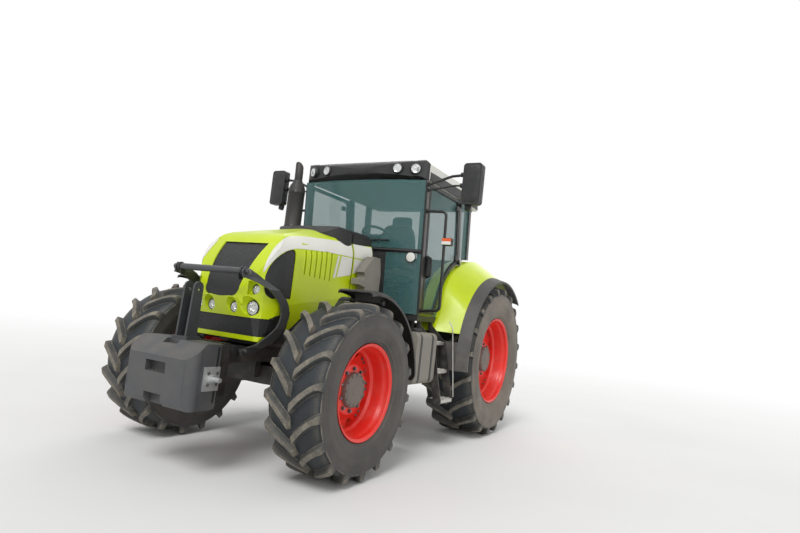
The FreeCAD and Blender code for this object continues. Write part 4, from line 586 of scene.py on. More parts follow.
def tube(name, points, radius, finish, body="chassis", bend=0.03, sides=14):
    return mesh_piece(name, tube_data(rounded_path(points, bend), radius, sides), finish, body)


def bolt_data(place, axis, size, height):
    """Washer and hexagon head with a chamfered top. Size is the head's radius."""
    rim = size * 1.45
    lift = height * 0.2
    washer = [(0.0, 0.0), (rim, 0.0), (rim, lift), (0.0, lift)]
    head = [(0.0, lift), (size, lift), (size, height * 0.88), (size * 0.86, height), (0.0, height)]
    return [lathe_data(washer, place, axis, 16), lathe_data(head, place, axis, 6)]


def bolts(name, places, axis, size, height, body="chassis"):
    parts = []
    for place in places:
        parts += bolt_data(place, axis, size, height)
    return merged(name, parts, "steel", body, 30.0)


def ring_places(centre, axis, radius, count, start=0.0):
    turns = [math.radians(start) + FULL_TURN * index / count for index in range(count)]
    return [centre + outward(axis, turn) * radius for turn in turns]


def tree_of(*nodes):
    """Ray-cast tree over the rest surfaces of some CAD nodes."""
    vertices = []
    faces = []
    for node in nodes:
        data = frame["nodes"][node].data
        start = len(vertices)
        vertices += [vertex.co.copy() for vertex in data.vertices]
        faces += [[index + start for index in face.vertices] for face in data.polygons]
    return BVHTree.FromPolygons(vertices, faces)


def struck(tree, start, aim):
    """Point where a ray meets the surface, or None."""
    return tree.ray_cast(start, Vector(aim))[0]


# Neighbouring starts of one ray, so that no ray slips through a seam between two faces
SEAM_SHIFTS = (0.0, 0.001, -0.001)
# Quads of a wrapped skin that are deeper than this would bridge a step in the surface
DEEPEST_QUAD = 0.03


def wrapped_data(tree, rows, aims, lift):
    """Thin skin laid on a surface. Rows are start points, each sent along its row's aim to the surface."""
    aims = [Vector(aim).normalized() for aim in aims]
    numbers = {}
    vertices = []
    for index, (row, aim) in enumerate(zip(rows, aims)):
        for place, point in enumerate(row):
            reaches = []
            for shift in SEAM_SHIFTS:
                hit, _, _, reach = tree.ray_cast(point + Vector((0, 0, shift)), aim)
                if hit:
                    reaches.append(reach)
            if reaches:
                numbers[index, place] = len(vertices)
                vertices.append(point + aim * (min(reaches) - lift))
    faces = []
    for index, place in numbers:
        corners = [(index, place), (index, place + 1), (index + 1, place + 1), (index + 1, place)]
        if all(corner in numbers for corner in corners):
            depths = [vertices[numbers[corner]].dot(aims[index]) for corner in corners]
            if max(depths) - min(depths) < DEEPEST_QUAD:
                faces.append([numbers[corner] for corner in corners])
    return vertices, faces


# Wheels

WHEELS = (
    # name, radius, half width, flange radius, lugs, lug height, rim half, disc plane, disc radius,
    # hub radius, hub face, hub back
    ("front", 0.691, 0.240, 0.380, 18, 0.045, 0.205, 0.062, 0.305, 0.138, 0.100, -0.020),
    ("rear", 0.889, 0.290, 0.508, 20, 0.050, 0.245, 0.092, 0.430, 0.150, 0.138, -0.060),
)

# Casing from the crown to the bead: share of the half width, share of the way from flange to tread
CASING = (
    (0.0, 1.0), (0.20, 0.999), (0.40, 0.996), (0.60, 0.987), (0.76, 0.968), (0.86, 0.938), (0.915, 0.902),
    (0.938, 0.872), (0.948, 0.866), (0.962, 0.884), (0.974, 0.884), (0.984, 0.862), (0.989, 0.80), (0.994, 0.70),
    (1.0, 0.61), (1.004, 0.595), (1.004, 0.45), (0.998, 0.435), (0.988, 0.34), (0.962, 0.235), (0.925, 0.16),
    (0.918, 0.118), (0.905, 0.105), (0.885, 0.095), (0.862, 0.055), (0.838, 0.022), (0.80, 0.002), (0.79, -0.06),
)

# How far a lug's inner end runs ahead of its outer end
LUG_LEAD = 0.185

# Lug stations from the tread's middle over the shoulder. Top: share of the half width, drop under the
# full radius. Foot: share of the half width, share on the casing. Then the share of the lead that is left,
# and half widths of foot and top
LUG = (
    (0.035, 0.0020, 0.020, 0.999, 1.03, 0.042, 0.030), (0.060, 0.0000, 0.050, 0.999, 0.98, 0.044, 0.032),
    (0.200, 0.0000, 0.190, 0.999, 0.78, 0.042, 0.030), (0.350, 0.0005, 0.340, 0.997, 0.58, 0.040, 0.028),
    (0.500, 0.0015, 0.490, 0.992, 0.40, 0.038, 0.026), (0.650, 0.0030, 0.640, 0.984, 0.24, 0.037, 0.025),
    (0.780, 0.0055, 0.760, 0.968, 0.12, 0.036, 0.024), (0.880, 0.0095, 0.850, 0.940, 0.05, 0.036, 0.024),
    (0.955, 0.0160, 0.905, 0.905, 0.01, 0.038, 0.025), (0.985, 0.0300, 0.938, 0.862, 0.0, 0.042, 0.028),
    (0.998, 0.0560, 0.960, 0.800, 0.0, 0.050, 0.034), (1.000, 0.0800, 0.972, 0.720, 0.0, 0.060, 0.044),
    (0.990, 0.1020, 0.970, 0.655, 0.0, 0.070, 0.054),
)


def wheel_point(centre, radius, turn, y):
    return Vector((centre.x + radius * math.cos(turn), y, centre.z + radius * math.sin(turn)))


def lug_data(centre, spec, turn, side):
    """One lug: a bar with sloping flanks and chamfered top edges that bends down over the shoulder."""
    _, radius, half, flange, _, height, *_ = spec
    casing = radius - height
    rings = []
    for top_y, drop, foot_y, foot_share, left, foot_half, top_half in LUG:
        top = radius - drop
        foot = flange + (casing - flange) * foot_share
        high_y = centre.y + side * half * top_y
        low_y = centre.y + side * half * foot_y
        ahead = turn - LUG_LEAD * left / radius
        flank = (
            # distance from the wheel's axis, y, half width
            (foot - 0.006, low_y, foot_half + 0.010),
            (top * 0.2 + foot * 0.8, high_y * 0.2 + low_y * 0.8, foot_half - 0.001),
            (top * 0.92 + foot * 0.08, high_y * 0.92 + low_y * 0.08, top_half),
            (top, high_y, top_half - 0.003),
        )
        ring = [wheel_point(centre, reach, ahead - along / radius, y) for reach, y, along in flank]
        ring += [wheel_point(centre, reach, ahead + along / radius, y) for reach, y, along in reversed(flank)]
        rings.append(ring)
    return loft_data(rings)


def make_tyre(side_name, sign, spec):
    name, radius, half, flange, lugs, height, *_ = spec
    centre = JOINTS["spin_" + name + "_" + side_name]
    casing = radius - height
    outline = [(flange + (casing - flange) * share, half * width) for width, share in CASING]
    outline = [(reach, -y) for reach, y in outline[:0:-1]] + outline
    parts = [lathe_data(outline, centre, Y, lugs * 10, True)]
    for index in range(lugs):
        for side, offset in ((sign, 0.0), (-sign, 0.5)):
            turn = (index + offset) * FULL_TURN / lugs + 0.5 * LUG_LEAD / radius
            parts.append(lug_data(centre, spec, turn, side))
    piece = merged("tyre_" + name + "_" + side_name, parts, "tyre_" + name, name + "_wheel_" + side_name, 32.0)
    reach = piece.data.attributes.new("reach", "FLOAT", "POINT")
    for index, vertex in enumerate(piece.data.vertices):
        reach.data[index].value = math.hypot(vertex.co.x - centre.x, vertex.co.z - centre.z)
    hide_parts(name + "_tyre_" + side_name)


RIM_STEPS = 96


def barrel_outline(flange, half, plane):
    """Rim with rolled flanges and a drop centre, as a closed outline."""
    seat = flange - 0.030
    tight = flange - 0.024
    well = flange - 0.048
    drop = well - 0.022
    lip = [
        (seat - 0.006, half - 0.052), (seat, half - 0.040), (seat + 0.003, half - 0.012),
        (seat + 0.010, half - 0.004), (flange - 0.010, half + 0.002), (flange - 0.004, half + 0.004), (flange, half + 0.001),
        (flange + 0.001, half - 0.004), (flange - 0.004, half - 0.009), (flange - 0.010, half - 0.011),
        (tight, half - 0.016), (tight, half - 0.060), (well + 0.008, half - 0.075),
    ]
    inside = [
        (well, -half + 0.075), (drop, -half + 0.095), (drop, plane - 0.030), (drop + 0.004, plane - 0.024),
        (well - 0.003, plane - 0.012), (well, plane - 0.006), (well, half - 0.075),
    ]
    return lip + [(reach, -y) for reach, y in reversed(lip)] + inside


def disc_data(centre, axis, well, plane, disc, hub):
    """Dished disc with eight lobes on its edge."""
    low = disc - 0.045
    dish = (
        # radius, offset from the disc's plane
        (hub + 0.001, 0.0), (hub * 1.34, 0.0), (hub * 1.42, -0.004), (hub * 1.50, -0.014), (low - 0.030, -0.048),
        (low - 0.012, -0.058), (low, -0.062),
    )
    vertices = []
    for step in range(RIM_STEPS):
        turn = FULL_TURN * step / RIM_STEPS
        out = outward(axis, turn)
        lobe = 0.5 + 0.5 * math.cos(8.0 * turn)
        edge = low + 0.004 + (well - 0.006 - low) * min(1.0, lobe * 1.9) ** 0.8
        front = [(reach, plane + offset) for reach, offset in (*dish, (edge, -0.070))]
        back = [(reach, along - 0.013) for reach, along in reversed(front)]
        vertices += [centre + out * reach + axis * along for reach, along in front + back]
    return vertices, grid_faces(RIM_STEPS, 2 * len(dish) + 2, True, True)


def make_rim(side_name, sign, spec):
    """Red rim, disc and the rim's lugs; then the hub, the nuts and the valve."""
    name, _, _, flange, _, _, half, plane, disc, hub, face, back = spec
    whose = name + "_" + side_name
    body = name + "_wheel_" + side_name
    centre = JOINTS["spin_" + whose]
    axis = Vector((0, sign, 0))
    well = flange - 0.048
    parts = [lathe_data(barrel_outline(flange, half, plane), centre, axis, RIM_STEPS, True),
             disc_data(centre, axis, well, plane, disc, hub)]
    tab = [(-0.046, -0.020), (0.046, -0.020), (0.040, 0.014), (-0.040, 0.014)]
    for place in ring_places(centre + axis * (plane - 0.096), axis, well - 0.016, 8):
        out = place - centre
        out.y = 0.0
        out.normalize()
        parts.append(slab_data(tab, place, axis.cross(out), out, axis * 0.012))
    piece = merged("rim_" + whose, parts, "red_paint", body, 32.0)
    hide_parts(name + "_rim_" + side_name)
    casting = [
        (0.0, face + 0.004), (hub * 0.26, face + 0.004), (hub * 0.30, face), (hub * 0.74, face),
        (hub * 0.76, face - 0.003), (hub * 0.80, face - 0.003), (hub * 0.82, face), (hub - 0.014, face),
        (hub - 0.005, face - 0.004), (hub, face - 0.013), (hub, plane + 0.012), (hub + 0.002, plane + 0.004),
        (hub + 0.001, plane - 0.016), (hub * 1.30, plane - 0.016), (hub * 1.30, plane - 0.046),
        (hub * 1.12, plane - 0.046), (hub * 1.12, back), (0.0, back),
    ]
    piece = lathe("hub_" + whose, casting, centre, axis, "hub_grey", body, 64)
    screws = []
    for place in ring_places(centre + axis * plane, axis, hub * 1.20, 10, 18.0):
        screws += bolt_data(place, axis, 0.0125, 0.020)
    for place in ring_places(centre + axis * face, axis, hub * 0.90, 12):
        screws += bolt_data(place, axis, 0.0065, 0.006)
    for index in range(8):
        for shift in (-4.2, 4.2):
            out = outward(axis, math.radians(45.0 * index + shift))
            screws += bolt_data(centre + out * (disc + 0.002) + axis * (plane - 0.070), axis, 0.011, 0.015)
    merged("wheel_nuts_" + whose, screws, "steel", body, 30.0)
    out = outward(axis, math.radians(22.5))
    stem = centre + out * (well - 0.002) + axis * (half - 0.085)
    path = [stem, stem - out * 0.020 + axis * 0.006, stem - out * 0.034 + axis * 0.022]
    tube("valve_" + whose, path, 0.004, "steel", body, 0.01, 8)


def make_wheels():
    for spec in WHEELS:
        for side_name, sign in SIDES:
            make_tyre(side_name, sign, spec)
            make_rim(side_name, sign, spec)


# Hood and nose

# Stations along each marking: x, y, z of its lower edge, then x, y, z of its upper edge
STRIPE_HOOD = (
    (3.268, 0.356, 1.528, 3.271, 0.352, 1.545), (3.240, 0.374, 1.585, 3.246, 0.350, 1.622),
    (3.205, 0.392, 1.640, 3.210, 0.344, 1.680), (3.165, 0.404, 1.685, 3.172, 0.340, 1.735),
    (3.110, 0.410, 1.722, 3.130, 0.345, 1.786), (3.050, 0.408, 1.747, 3.075, 0.350, 1.836),
    (2.977, 0.403, 1.767, 3.000, 0.350, 1.868), (2.900, 0.404, 1.777, 2.915, 0.352, 1.884),
    (2.767, 0.406, 1.789, 2.767, 0.350, 1.904), (2.540, 0.412, 1.802, 2.540, 0.355, 1.924),
    (2.350, 0.416, 1.808, 2.350, 0.365, 1.936), (2.163, 0.420, 1.812, 2.163, 0.380, 1.944),
)
STRIPE_PANEL = (
    (2.137, 0.420, 1.812, 2.137, 0.385, 1.945), (2.000, 0.420, 1.816, 2.000, 0.385, 1.948),
    (1.822, 0.420, 1.822, 1.822, 0.385, 1.950),
)
PATCH_HOOD = ((2.388, 0.420, 1.594, 2.345, 0.418, 1.797), (2.166, 0.420, 1.640, 2.166, 0.418, 1.803))
SLASH_HOOD = ((2.443, 0.420, 1.583, 2.402, 0.418, 1.793), (2.410, 0.420, 1.586, 2.369, 0.418, 1.796))
PATCH_PANEL = ((2.134, 0.420, 1.655, 2.134, 0.418, 1.803), (1.890, 0.420, 1.740, 1.880, 0.418, 1.806))
BAND_HOOD = ((3.190, 0.399, 1.160, 3.190, 0.399, 1.168), (2.962, 0.412, 1.160, 2.964, 0.412, 1.240))
SIDE_BANDS = (
    # name, node, body, finish, stations, upward lean behind the nose
    ("stripe", "hood", "hood", "white_paint", STRIPE_HOOD, 0.15),
    ("patch", "hood", "hood", "white_paint", PATCH_HOOD, 0.15),
    ("slash", "hood", "hood", "white_paint", SLASH_HOOD, 0.15),
    ("band_side", "hood", "hood", "cap_black", BAND_HOOD, 0.15),
    ("panel_stripe", "hood_rear_panel", "chassis", "white_paint", STRIPE_PANEL, 0.42),
    ("panel_patch", "hood_rear_panel", "chassis", "white_paint", PATCH_PANEL, 0.15),
)
BAND_ALONG = 80
BAND_ACROSS = 26
BAND_LIFT = 0.0024
# From these places forward, a marking is looked at more from the front, and more from above
NOSE_TURN_X = 3.02
NOSE_SIDE_X = 3.0
NOSE_LEAN = 0.42


def band_rows(sign, stations, lean):
    """Start points outside the hood for a marking, and the direction that sends each row to the hood."""
    rows = []
    aims = []
    count = len(stations) - 1
    for step in range(BAND_ALONG + 1):
        place = step / BAND_ALONG * count
        index = min(int(place), count - 1)
        share = place - index
        x0, y0, z0, x1, y1, z1 = [a + (b - a) * share for a, b in zip(stations[index], stations[index + 1])]
        ahead = max(0.0, min(0.75, (x0 - NOSE_TURN_X) * 4.0))
        out = Vector((ahead, sign * 0.8, lean if x0 < NOSE_SIDE_X else NOSE_LEAN)).normalized()
        low = at(x0, sign * y0, z0)
        high = at(x1, sign * y1, z1)
        rows.append([low + (high - low) * (part / BAND_ACROSS) + out * 0.12 for part in range(BAND_ACROSS + 1)])
        aims.append(-out)
    return rows, aims


def make_markings():
    for name, node, body, finish, stations, lean in SIDE_BANDS:
        tree = tree_of(node)
        for side_name, sign in SIDES:
            skin = wrapped_data(tree, *band_rows(sign, stations, lean), BAND_LIFT)
            piece = mesh_piece(name + "_" + side_name, skin, finish, body)


# Half width of the nose grille by height, and the side grille's front edge by height
NOSE_GRILLE = ((1.308, 0.060), (1.322, 0.125), (1.338, 0.174), (1.400, 0.194), (1.500, 0.211), (1.786, 0.259))
SIDE_GRILLE = ((1.338, 3.19), (1.398, 3.252), (1.436, 3.260), (1.500, 3.263), (1.581, 3.217), (1.650, 3.164),
               (1.705, 3.104), (1.752, 3.034))
SIDE_GRILLE_REAR = 2.974
GRILLE_LIFT = 0.0022


def edge_at(table, height):
    """Value of a two-column table at a height."""
    for (low, first), (high, second) in zip(table, table[1:]):
        if height <= high:
            return first + (second - first) * (height - low) / (high - low)
    return table[-1][1]


def make_grille_meshes():
    """Fine mesh before the slotted grilles, as one dark sheet in each of the hood's openings, its holes painted near
    black as painted shade.
    """
    tree = tree_of("hood_grilles")
    points = []
    for step in range(49):
        z = NOSE_GRILLE[0][0] + (NOSE_GRILLE[-1][0] - NOSE_GRILLE[0][0]) * step / 48
        hit = struck(tree, at(3.6, 0.0, z), (-1, 0, 0))
        half = edge_at(NOSE_GRILLE, z)
        points += [Vector((hit.x + GRILLE_LIFT, half * part / 8, z)) for part in range(-8, 9)]
    piece = mesh_piece("nose_mesh", (points, grid_faces(49, 17)), "mesh_dark", "hood")
    for side_name, sign in SIDES:
        points = []
        for level in range(11):
            z = 1.360 + 0.038 * level
            front = edge_at(SIDE_GRILLE, z)
            for part in range(13):
                x = SIDE_GRILLE_REAR + (front - SIDE_GRILLE_REAR) * part / 12
                hit = struck(tree, at(x, sign * 0.55, z), (0, -sign, 0))
                if hit is None or hit.y * sign < 0.2:
                    hit = points[-1] if part else at(x, sign * 0.398, z)
                points.append(Vector((x + REAR_AXLE.x, hit.y + sign * GRILLE_LIFT, z)))
        piece = mesh_piece("side_mesh_" + side_name, (points, grid_faces(11, 13)), "mesh_dark", "hood")


LOUVRE_X = (2.480, 2.552, 2.624, 2.696, 2.768, 2.840)


def make_louvres():
    """Pressed ribs beside the hood's slots, and a green backing behind them."""
    tree = tree_of("hood")
    for side_name, sign in SIDES:
        parts = []
        for index, x in enumerate(LOUVRE_X):
            low = 1.552 + 0.004 * index
            high = 1.808 - 0.009 * index
            for shift in (-0.014, 0.030):
                starts = [at(x + shift, sign * 0.6, low + (high - low) * step / 12) for step in range(13)]
                hits = [struck(tree, start, (0, -sign, 0)) for start in starts]
                path = [hit - Vector((0, sign * 0.0015, 0)) for hit in hits if hit]
                if len(path) > 4:
                    parts.append(tube_data(path, [0.002] + [0.0045] * (len(path) - 2) + [0.002], 10))
        piece = merged("louvre_ribs_" + side_name, parts, "green_paint", "hood", 50.0)
        back = [(2.45, 1.53), (2.89, 1.53), (2.89, 1.83), (2.45, 1.83)]
        slab("louvre_backing_" + side_name, back, at(0, sign * 0.388, 0), X, Z, (0, sign * 0.004, 0), "green_paint",
             "hood")


def make_lamp(name, centre, aim, radius, depth, bezel, body="chassis", count=48, fluted=False):
    """Reflector bowl, bulb holder, domed glass and a black bezel. Gives the glass."""
    bowl = [
        (radius * 0.16, -depth), (radius * 0.42, -depth * 0.92), (radius * 0.70, -depth * 0.66),
        (radius * 0.90, -depth * 0.30), (radius * 0.955, -0.002), (radius * 0.955, 0.0045), (radius, 0.0045),
        (radius + 0.001, 0.0), (radius, -0.010), (radius * 0.92, -depth * 0.40), (radius * 0.74, -depth * 0.80),
        (radius * 0.46, -depth * 1.06), (radius * 0.14, -depth * 1.12),
    ]
    piece = lathe(name + "_reflector", bowl, centre, aim, "chrome", body, 48, True)
    bulb = [
        (0.0, -depth * 0.25), (radius * 0.16, -depth * 0.30), (radius * 0.20, -depth * 0.5), (radius * 0.20, -depth),
    ]
    piece = lathe(name + "_bulb", bulb, centre, aim, "chrome", body, 20)
    dome = [(0.0, radius * 0.24)]
    for step in range(1, 9):
        share = step / 8.0
        flute = 0.0008 * (step % 2) if fluted else 0.0
        rise = radius * 0.24 * math.sqrt(1.0 - share ** 2) + 0.002
        dome.append((radius * 0.95 * share, rise + flute))
    dome += [(radius * 0.95, -0.002), (0.0, radius * 0.16)]
    piece = lathe(name + "_glass", dome, centre, aim, "lamp_clear", body, 48)
    lathe(name + "_bezel", bezel, centre, aim, "black", body, count, True)
    return piece


NOSE_LAMPS = (
    # y, z, radius, face x, fluted
    (0.300, 1.242, 0.058, 3.274, True), (0.126, 1.236, 0.042, 3.298, False), (0.305, 1.388, 0.040, 3.262, False),
)


def make_nose():
    for side_name, sign in SIDES:
        for index, (y, z, radius, face, fluted) in enumerate(NOSE_LAMPS):
            name = "nose_lamp_" + side_name + "_" + str(index)
            bezel = [
                (radius - 0.004, 0.001), (radius - 0.003, 0.005), (radius, 0.006), (radius + 0.003, 0.004),
                (radius + 0.003, -0.004), (radius - 0.003, -0.004),
            ]
            centre = at(face, sign * y, z)
            make_lamp(name, centre, X, radius - 0.002, radius * 0.75, bezel, "hood", 48, fluted)
    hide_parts("headlamps")


# Guard, ballast and front fittings

GUARD_BAR = (3.479, 1.515)


def make_front_fittings():
    for side_name, sign in SIDES:
        aim = Vector((0, sign, 0))
        centre = at(GUARD_BAR[0], sign * 0.350, GUARD_BAR[1])
        collar = [(0.0, 0.0), (0.033, 0.0), (0.036, 0.003), (0.036, 0.013), (0.033, 0.016), (0.0, 0.016)]
        lathe("guard_collar_" + side_name, collar, centre - aim * 0.01, aim, "dark_paint", "guard", 32)
        tab = [(-0.030, -0.062), (0.012, -0.070), (0.026, -0.030), (0.020, 0.002), (-0.018, 0.004)]
        slab("guard_tab_" + side_name, tab, centre - aim * 0.030, X, Z, aim * 0.008, "dark_paint", "guard")
        end = at(GUARD_BAR[0], sign * 0.412, GUARD_BAR[1])
        bolts("guard_bolt_" + side_name, [end], aim, 0.015, 0.012, "guard")
        bolts("guard_pin_nut_" + side_name, [at(3.360, sign * 0.362, 0.912)], aim, 0.014, 0.012)
        places = [at(x, sign * 0.374, z) for z in (0.676, 0.756) for x in (3.617, 3.697)]
        bolts("ballast_plate_bolts_" + side_name, places, aim, 0.0085, 0.008)
    ribs = [tube_data([at(3.852, y, 0.600), at(3.852, y, 0.80)], 0.006, 10) for y in (-0.30, 0.30)]
    merged("ballast_face_ribs", ribs, "cast_grey")
    plug = [(0.0, 0.0), (0.020, 0.0), (0.020, 0.004), (0.016, 0.007), (0.0, 0.007)]
    for side_name, sign in SIDES:
        lathe("ballast_plug_" + side_name, plug, at(3.848, sign * 0.215, 0.586), X, "cast_grey", count=24)


# Front fenders

FENDER = (
    # distance from the wheel's axis, y from the inner edge to the outer edge
    (0.780, 0.809), (0.780, 1.138), (0.768, 1.164), (0.754, 1.164), (0.754, 1.172), (0.774, 1.172), (0.784, 1.160),
    (0.7885, 1.140), (0.791, 0.980), (0.7885, 0.807), (0.784, 0.787), (0.774, 0.775), (0.754, 0.775), (0.754, 0.783),
    (0.768, 0.783),
)
FENDER_FRONT = 86.5
FENDER_REAR = 176.0
FENDER_MIDDLE = 0.9735
FENDER_STEPS = 60


def make_front_fenders():
    """Blade over each front tyre with turned-down edges, narrower towards its rounded ends."""
    for side_name, sign in SIDES:
        centre = JOINTS["spin_front_" + side_name]
        body = "knuckle_" + side_name
        rings = []
        for step in range(FENDER_STEPS + 1):
            angle = FENDER_FRONT + (FENDER_REAR - FENDER_FRONT) * step / FENDER_STEPS
            near_end = max(0.0, 1.0 - (angle - FENDER_FRONT) / 5.0, 1.0 - (FENDER_REAR - angle) / 4.0)
            narrow = 1.0 - 0.16 * near_end ** 2
            drop = 0.010 * near_end ** 2
            rings.append([
                wheel_point(centre, reach - drop, math.radians(angle),
                            sign * ((y - FENDER_MIDDLE) * narrow + FENDER_MIDDLE))
                for reach, y in FENDER
            ])
        piece = mesh_piece("fender_blade_" + side_name, loft_data(rings), "blade_plastic", body, 45.0)
        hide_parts("front_fender_" + side_name)
        parts = []
        for angle in (99.0, 108.0):
            for y in (0.90, 1.04):
                place = wheel_point(centre, 0.790, math.radians(angle), sign * y)
                parts += bolt_data(place, place - Vector((centre.x, place.y, centre.z)), 0.008, 0.007)
        merged("fender_bolts_" + side_name, parts, "blade_plastic", body, 30.0)


# Cab

PILLAR_FOOT = (1.380, 1.330)
PILLAR_HEAD = (1.486, 2.740)
SCREEN_FOOT_X = 1.425
SCREEN_BULGE = 0.076
SCREEN_HALF = 0.787


def pillar_x(z):
    share = (z - PILLAR_FOOT[1]) / (PILLAR_HEAD[1] - PILLAR_FOOT[1])
    return PILLAR_FOOT[0] + (PILLAR_HEAD[0] - PILLAR_FOOT[0]) * share


def screen_point(y, z, ahead=0.0):
    """Point on the curved windscreen, or ahead of it."""
    lean = (PILLAR_HEAD[0] - PILLAR_FOOT[0]) / (PILLAR_HEAD[1] - PILLAR_FOOT[1])
    x = SCREEN_FOOT_X + (z - 1.336) * lean + SCREEN_BULGE * (1.0 - (y / SCREEN_HALF) ** 2) + ahead
    return at(x, y, z)


def seal_loop(name, points, body):
    """Rubber seal round a closed outline."""
    path = points + [points[0]]
    mesh_piece(name, tube_data(path, 0.008, 8), "rubber", body, 60.0)


DOOR = (
    # x, z round the glass, from the front foot
    (1.302, 1.390), (1.400, 2.684), (0.690, 2.684), (0.585, 2.018), (0.700, 1.960), (0.800, 1.880), (0.880, 1.775),
    (0.945, 1.650), (0.985, 1.545), (1.070, 1.390),
)


def make_cab_trim():
    for side_name, sign in SIDES:
        outline = [at(x, sign * 0.785, z) for x, z in DOOR]
        seal_loop("door_seal_" + side_name, outline, "door_" + side_name)
        post = [at(pillar_x(1.36) + 0.030, sign * 0.795, 1.36), at(pillar_x(2.71) + 0.030, sign * 0.795, 2.71)]
        tube("pillar_trim_" + side_name, post, 0.010, "rubber", "chassis", 0.01, 10)
        grip_z = (1.735, 1.960)
        hand = [
            at(1.318, sign * 0.800, grip_z[0]), at(1.322, sign * 0.848, grip_z[0] + 0.020),
            at(1.334, sign * 0.848, grip_z[1] - 0.020), at(1.336, sign * 0.800, grip_z[1]),
        ]
        tube("door_grip_" + side_name, hand, 0.011, "black", "door_" + side_name, 0.03, 12)
        lock = [(-0.026, -0.060), (0.026, -0.060), (0.026, 0.060), (-0.026, 0.060)]
        slab("door_lock_" + side_name, lock, at(1.290, sign * 0.801, 1.800), X, Z,
             (0, sign * 0.014, 0), "black", "door_" + side_name, 0.005)
        button = [(0.0, 0.0), (0.013, 0.0), (0.013, 0.006), (0.010, 0.009), (0.0, 0.009)]
        lathe("door_button_" + side_name, button, at(1.290, sign * 0.815, 1.775), (0, sign, 0), "steel",
              "door_" + side_name, 20)
        for index, (x, z) in enumerate(((0.622, 2.045), (0.716, 2.610))):
            block = rounded_outline(0.075, 0.060, 0.012)
            slab("hinge_cover_" + side_name + "_" + str(index), block, at(x, sign * 0.802, z), X, Z,
                 (0, sign * 0.020, 0), "black", "door_" + side_name, 0.004)
    edge = [screen_point(0.78 - 0.065 * step, 1.987, 0.006) for step in range(25)]
    mesh_piece("screen_bar_cover", tube_data(edge, 0.013, 8), "black", sharp=60.0)
    pivot = screen_point(-0.32, 2.045, 0.012)
    arm = [pivot, screen_point(-0.20, 2.062, 0.030), screen_point(0.10, 2.078, 0.022)]
    tube("wiper_arm", arm, 0.006, "black", "chassis", 0.04, 8)
    blade = [screen_point(-0.22 + 0.13 * step, 2.075 + 0.003 * step, 0.010) for step in range(6)]
    tube("wiper_blade", blade, 0.008, "rubber", "chassis", 0.02, 8)
    boss = [(0.0, -0.02), (0.020, -0.02), (0.020, 0.010), (0.014, 0.016), (0.0, 0.016)]
    lathe("wiper_boss", boss, pivot, X, "black", "chassis", 24)
    disc = [(0.0, 0.0), (0.052, 0.0), (0.052, 0.0025), (0.050, 0.0035), (0.0, 0.0035)]
    badge = lathe("blank_disc", disc, at(1.495, 0.686, 1.925), (1, 0.13, 0), "white_paint", "chassis", 40)
    ring = [(0.052, 0.0), (0.056, 0.001), (0.056, 0.004), (0.052, 0.005), (0.049, 0.004)]
    lathe("blank_disc_ring", ring, at(1.495, 0.686, 1.925), (1, 0.13, 0), "black", "chassis", 40, closed=True)


ROOF_LAMPS = (
    # y, z, radius, turn outwards
    (0.675, 2.850, 0.052, 0.30), (0.466, 2.856, 0.050, 0.14),
)


def make_roof_details():
    front = tree_of("visor")
    side = tree_of("roof", "visor")
    for side_name, sign in SIDES:
        for index, (y, z, radius, turn) in enumerate(ROOF_LAMPS):
            name = "roof_lamp_" + side_name + "_" + str(index)
            hit = struck(front, at(3.0, sign * y, z), (-1, 0, 0))
            tilt = Vector((1.0, sign * turn, -0.06)).normalized()
            centre = hit + tilt * 0.013
            bezel = [
                (radius - 0.005, 0.002), (radius - 0.003, 0.007), (radius + 0.001, 0.008), (radius + 0.009, 0.002),
                (radius + 0.014, -0.012), (radius + 0.016, -0.030), (radius - 0.005, -0.030),
            ]
            make_lamp(name, centre, tilt, radius - 0.004, 0.011, bezel)
            centre = at(-0.078, sign * (0.60 - 0.15 * index), 2.845)
            bezel = [(0.041, 0.002), (0.046, 0.007), (0.054, 0.002), (0.058, -0.014), (0.041, -0.014)]
            make_lamp("rear_" + name, centre, (-1, 0, -0.06), 0.044, 0.010, bezel, count=40)
        rows = []
        for step in range(61):
            x = 1.470 - 1.50 * step / 60
            top = 2.838 + 0.03 * step / 60
            rows.append([at(x, sign * 1.2, 2.744 + (top - 2.744) * part / 6) for part in range(7)])
        aims = [Vector((0, -sign, 0))] * len(rows)
        trim = mesh_piece("roof_side_trim_" + side_name, wrapped_data(side, rows, aims, 0.0015), "black")
        gutter = [at(1.478, sign * 0.806, 2.752), at(0.70, sign * 0.795, 2.752), at(0.06, sign * 0.786, 2.752)]
        tube("roof_gutter_" + side_name, gutter, 0.009, "black", "chassis", 0.05, 10)
    grill = []
    for step in range(9):
        z = 2.800 + 0.012 * step
        grill.append(tube_data([at(-0.071, -0.26, z), at(-0.071, 0.26, z)], 0.0035, 6))
    merged("roof_rear_louvres", grill, "black")


